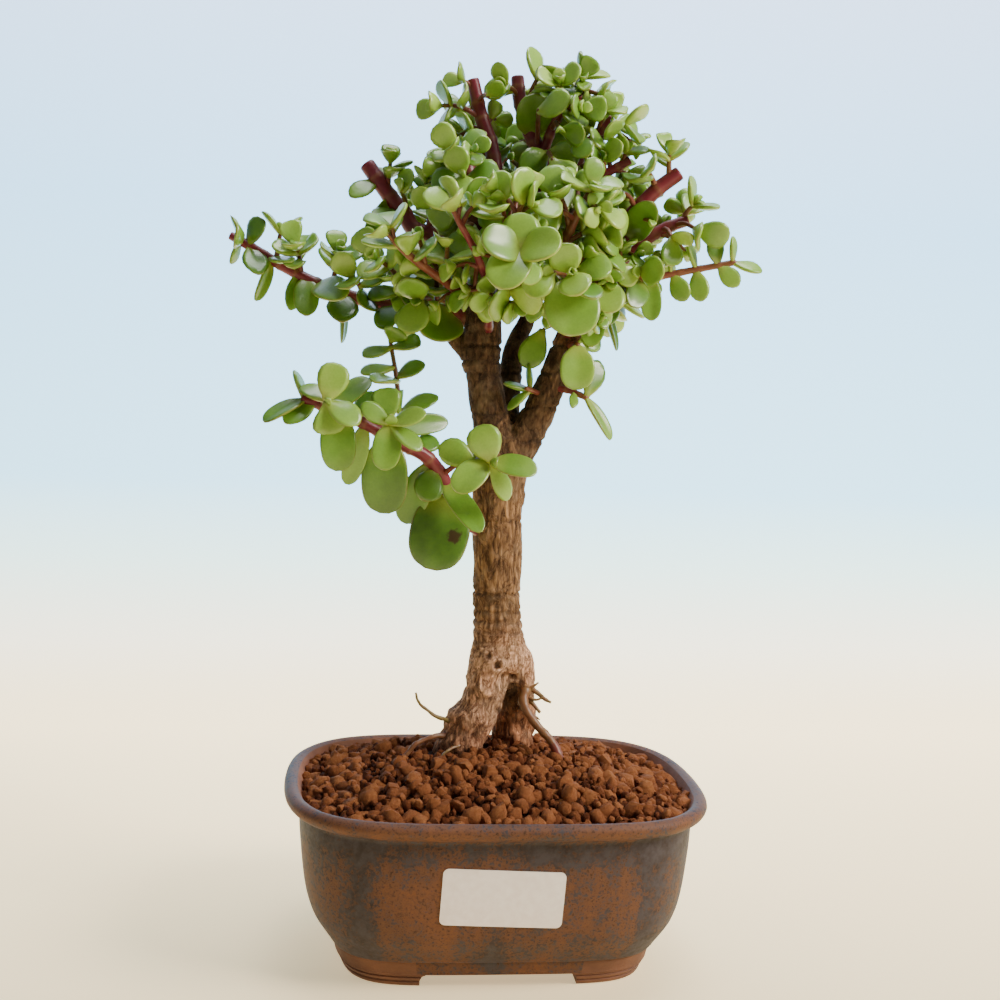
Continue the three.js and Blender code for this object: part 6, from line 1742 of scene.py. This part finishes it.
class JADE_OT_soil(Operator):
    """Build the packed soil and strew it with clay granules"""
    bl_idname = "jade.soil"
    bl_label = "Build Soil"

    def execute(self, context):
        chosen = context.scene.jade_soil
        clay = clay_granule(chosen)
        bed = new_piece("soil_bed", bed_skin(BED_SIDES, BED_ROUNDS), clay)
        granules = new_piece("clay_granules", bed.data.copy(), clay)
        lumps = form_collection("granule", [
            granule_mesh(f"granule_{k}", LUMP_SEED + k) for k in range(LUMP_FORMS)])
        run_tree(granules, *granule_tree(), {
            "Lumps": lumps, "Size": chosen.size, "Spacing": chosen.spacing, "Seed": chosen.seed,
            "Material": clay})
        drop_collection(lumps)
        # The bed shows only in the gaps between the granules: its low tone paints them in the darkest clay,
        # as painted shade.
        store(bed.data, "grain_tone", "FLOAT", [0.05] * len(bed.data.vertices))
        finish_piece(bed, "soil", "soil")
        finish_piece(granules, "soil")
        return {"FINISHED"}


class JADE_OT_label(Operator):
    """Lay the blank sticker on the pot's front"""
    bl_idname = "jade.label"
    bl_label = "Build Label"

    def execute(self, context):
        chosen = context.scene.jade_label
        label = new_piece("blank_label", label_skin(chosen.thickness / MM), coated_paper(chosen))
        label.data.set_sharp_from_angle(angle=radians(LABEL_SHARP))
        finish_piece(label, "label", "label")
        return {"FINISHED"}


class JADE_OT_trunk(Operator):
    """Fuse the trunk, limbs and root legs and raise their bark, then add the thin roots"""
    bl_idname = "jade.trunk"
    bl_label = "Build Trunk"

    def execute(self, context):
        chosen = context.scene.jade_bark
        bark = old_bark(chosen)
        trunk = new_piece("bark_trunk", trunk_skin(), bark)
        remesh = trunk.modifiers.new("Fuse", "REMESH")
        remesh.mode, remesh.voxel_size = "VOXEL", chosen.voxel
        even = trunk.modifiers.new("Even", "SMOOTH")
        even.factor, even.iterations = 0.5, 6
        settle(trunk)
        if not trunk.data.materials:
            trunk.data.materials.append(bark)
        dress_bark(trunk, chosen)
        finish_piece(trunk, "bark", "trunk")
        roots = new_piece("thin_roots", root_skin(), young_bark(context.scene.jade_stems))
        finish_piece(roots, "bark")
        return {"FINISHED"}


class JADE_OT_crown(Operator):
    """Grow the leafy stems, their side shoots and every leaf"""
    bl_idname = "jade.crown"
    bl_label = "Grow Crown"

    def execute(self, context):
        chosen, skins = context.scene.jade_leaves, context.scene.jade_stems
        plan, named, jobs = plan_of_solids()
        fill_crown(plan, named, jobs, chosen.twigs, chosen.seed)
        stems = new_piece("leafy_stems", stem_skin(plan), young_bark(skins), cut_wood(skins))
        forms = form_collection("leaf_form", [blade_mesh(name, *form) for name, form in LEAF_FORMS.items()])
        leaves = new_piece("leaves", leaf_points(plan, chance(LEAF_SEED)))
        run_tree(leaves, *leaf_tree(), {
            "Forms": forms, "Size": chosen.size, "Thickness": chosen.thickness,
            "Material": leaf_skin(chosen)})
        drop_collection(forms)
        finish_piece(stems, "stem", *LEAFY)
        finish_piece(leaves, "leaf", *LEAFY)
        return {"FINISHED"}


# The sweep's ground from its front edge to its bend, the bend's radius and the rise behind it, and
# the place in the crown at which the lights look, in metres.
SWEEP_FRONT, SWEEP_BACK, SWEEP_BEND, SWEEP_RISE = -3.0, 0.3, 0.7, 2.4
LIT = (0, 0, 0.17)


class JADE_OT_stage(Operator):
    """Set up the sweep, the soft lights and the camera"""
    bl_idname = "jade.stage"
    bl_label = "Set Stage"

    def execute(self, context):
        chosen = context.scene.jade_stage
        made = bmesh.new()
        line = [(SWEEP_FRONT + (SWEEP_BACK - SWEEP_FRONT) * k / 11, 0) for k in range(12)]
        line += [(SWEEP_BACK + SWEEP_BEND * sin(turn), SWEEP_BEND * (1 - cos(turn)))
                 for turn in (pi / 2 * k / 22 for k in range(1, 23))]
        line += [(SWEEP_BACK + SWEEP_BEND, SWEEP_BEND + SWEEP_RISE * k / 7) for k in range(1, 8)]
        rows = [[made.verts.new((x, y, z)) for x in (-3.5, -1.2, 0, 1.2, 3.5)] for y, z in line]
        for a, b in zip(rows, rows[1:]):
            for k in range(4):
                made.faces.new((a[k], a[k + 1], b[k + 1], b[k]))
        new_piece("opal_sweep", mesh_of("opal_sweep", made), backlit_sweep(chosen.glow))
        for name, place, size, power, tint in (
            ("key_softbox", (1.0, -0.5, 0.85), 0.55, chosen.key, "#fff8ee"),
            ("fill_softbox", (-0.9, -0.7, 0.5), 0.8, chosen.fill, "#f3f7ff"),
            ("top_softbox", (0.1, 0.1, 1.15), 0.6, 0.4 * chosen.key, "#f8faff"),
        ):
            light = bpy.data.lights.new(name, "AREA")
            light.energy, light.size, light.color = power, size, linear(tint)[:3]
            holder = new_piece(name, light)
            holder.location = place
            holder.rotation_euler = (Vector(LIT) - Vector(place)).to_track_quat("-Z", "Y").to_euler()
        world = bpy.data.worlds.new("soft_sky")
        bpy.context.scene.world = world
        world.use_nodes = True
        world.node_tree.nodes.clear()
        sky = add_node(world.node_tree, "Background", {"Color": linear("#e4edf5"), "Strength": chosen.sky})
        add_node(world.node_tree, "OutputWorld", {"Surface": sky})
        lens = bpy.data.cameras.new("camera")
        lens.lens, lens.sensor_width, lens.clip_start = chosen.focal_length, 36.0, 0.01
        camera = new_piece("camera", lens)
        camera.matrix_world = camera_place()
        bpy.context.scene.camera = camera
        return {"FINISHED"}


# Where the camera stands in the table frame, and how it is turned, in degrees.
CAMERA_AT = (-57.3, -488.7, 201)
CAMERA_PITCH, CAMERA_YAW, CAMERA_ROLL = -4.77, 6.56, 2.12


def camera_place():
    pitch, yaw, roll = (radians(a) for a in (CAMERA_PITCH, CAMERA_YAW, CAMERA_ROLL))
    ahead = Vector((sin(yaw) * cos(pitch), cos(yaw) * cos(pitch), sin(pitch)))
    right = Vector((cos(yaw), -sin(yaw), 0))
    up = right.cross(ahead)
    right, up = right * cos(roll) + up * sin(roll), up * cos(roll) - right * sin(roll)
    turn = Matrix((right, up, -ahead)).transposed().to_4x4()
    return Matrix.Translation(Vector(row_frame(CAMERA_AT))) @ turn


class JADE_PT_panel(Panel):
    """Sizes, colours and building steps of the bonsai"""
    bl_idname = "JADE_PT_panel"
    bl_label = "Dwarf Jade Bonsai"
    bl_space_type = "VIEW_3D"
    bl_region_type = "UI"
    bl_category = "Jade Bonsai"

    def draw(self, context):
        for label, name, _, operators in SECTIONS:
            box = self.layout.box()
            box.label(text=label)
            group = getattr(context.scene, name)
            for prop in group.__annotations__:
                box.prop(group, prop)
            for operator in operators:
                box.operator(operator.bl_idname)


SECTIONS = [
    ("Pot", "jade_pot", JadePotSettings, (JADE_OT_pot, JADE_OT_screens)),
    ("Soil", "jade_soil", JadeSoilSettings, (JADE_OT_soil,)),
    ("Label", "jade_label", JadeLabelSettings, (JADE_OT_label,)),
    ("Trunk", "jade_bark", JadeBarkSettings, (JADE_OT_trunk,)),
    ("Stems", "jade_stems", JadeStemSettings, ()),
    ("Leaves", "jade_leaves", JadeLeafSettings, (JADE_OT_crown,)),
    ("Stage", "jade_stage", JadeStageSettings, (JADE_OT_stage,)),
]
CLASSES = [item for _, _, group, operators in SECTIONS for item in (group, *operators)] + [JADE_PT_panel]


def register():
    for item in CLASSES:
        bpy.utils.register_class(item)
    for _, name, group, _ in SECTIONS:
        setattr(bpy.types.Scene, name, PointerProperty(type=group))


def unregister():
    for _, name, _, _ in SECTIONS:
        delattr(bpy.types.Scene, name)
    for item in reversed(CLASSES):
        bpy.utils.unregister_class(item)


def main():
    register()
    bpy.ops.jade.stage()
    bpy.ops.jade.pot()
    bpy.ops.jade.screens()
    bpy.ops.jade.soil()
    bpy.ops.jade.label()
    bpy.ops.jade.trunk()
    bpy.ops.jade.crown()


if __name__ == "__main__":
    main()
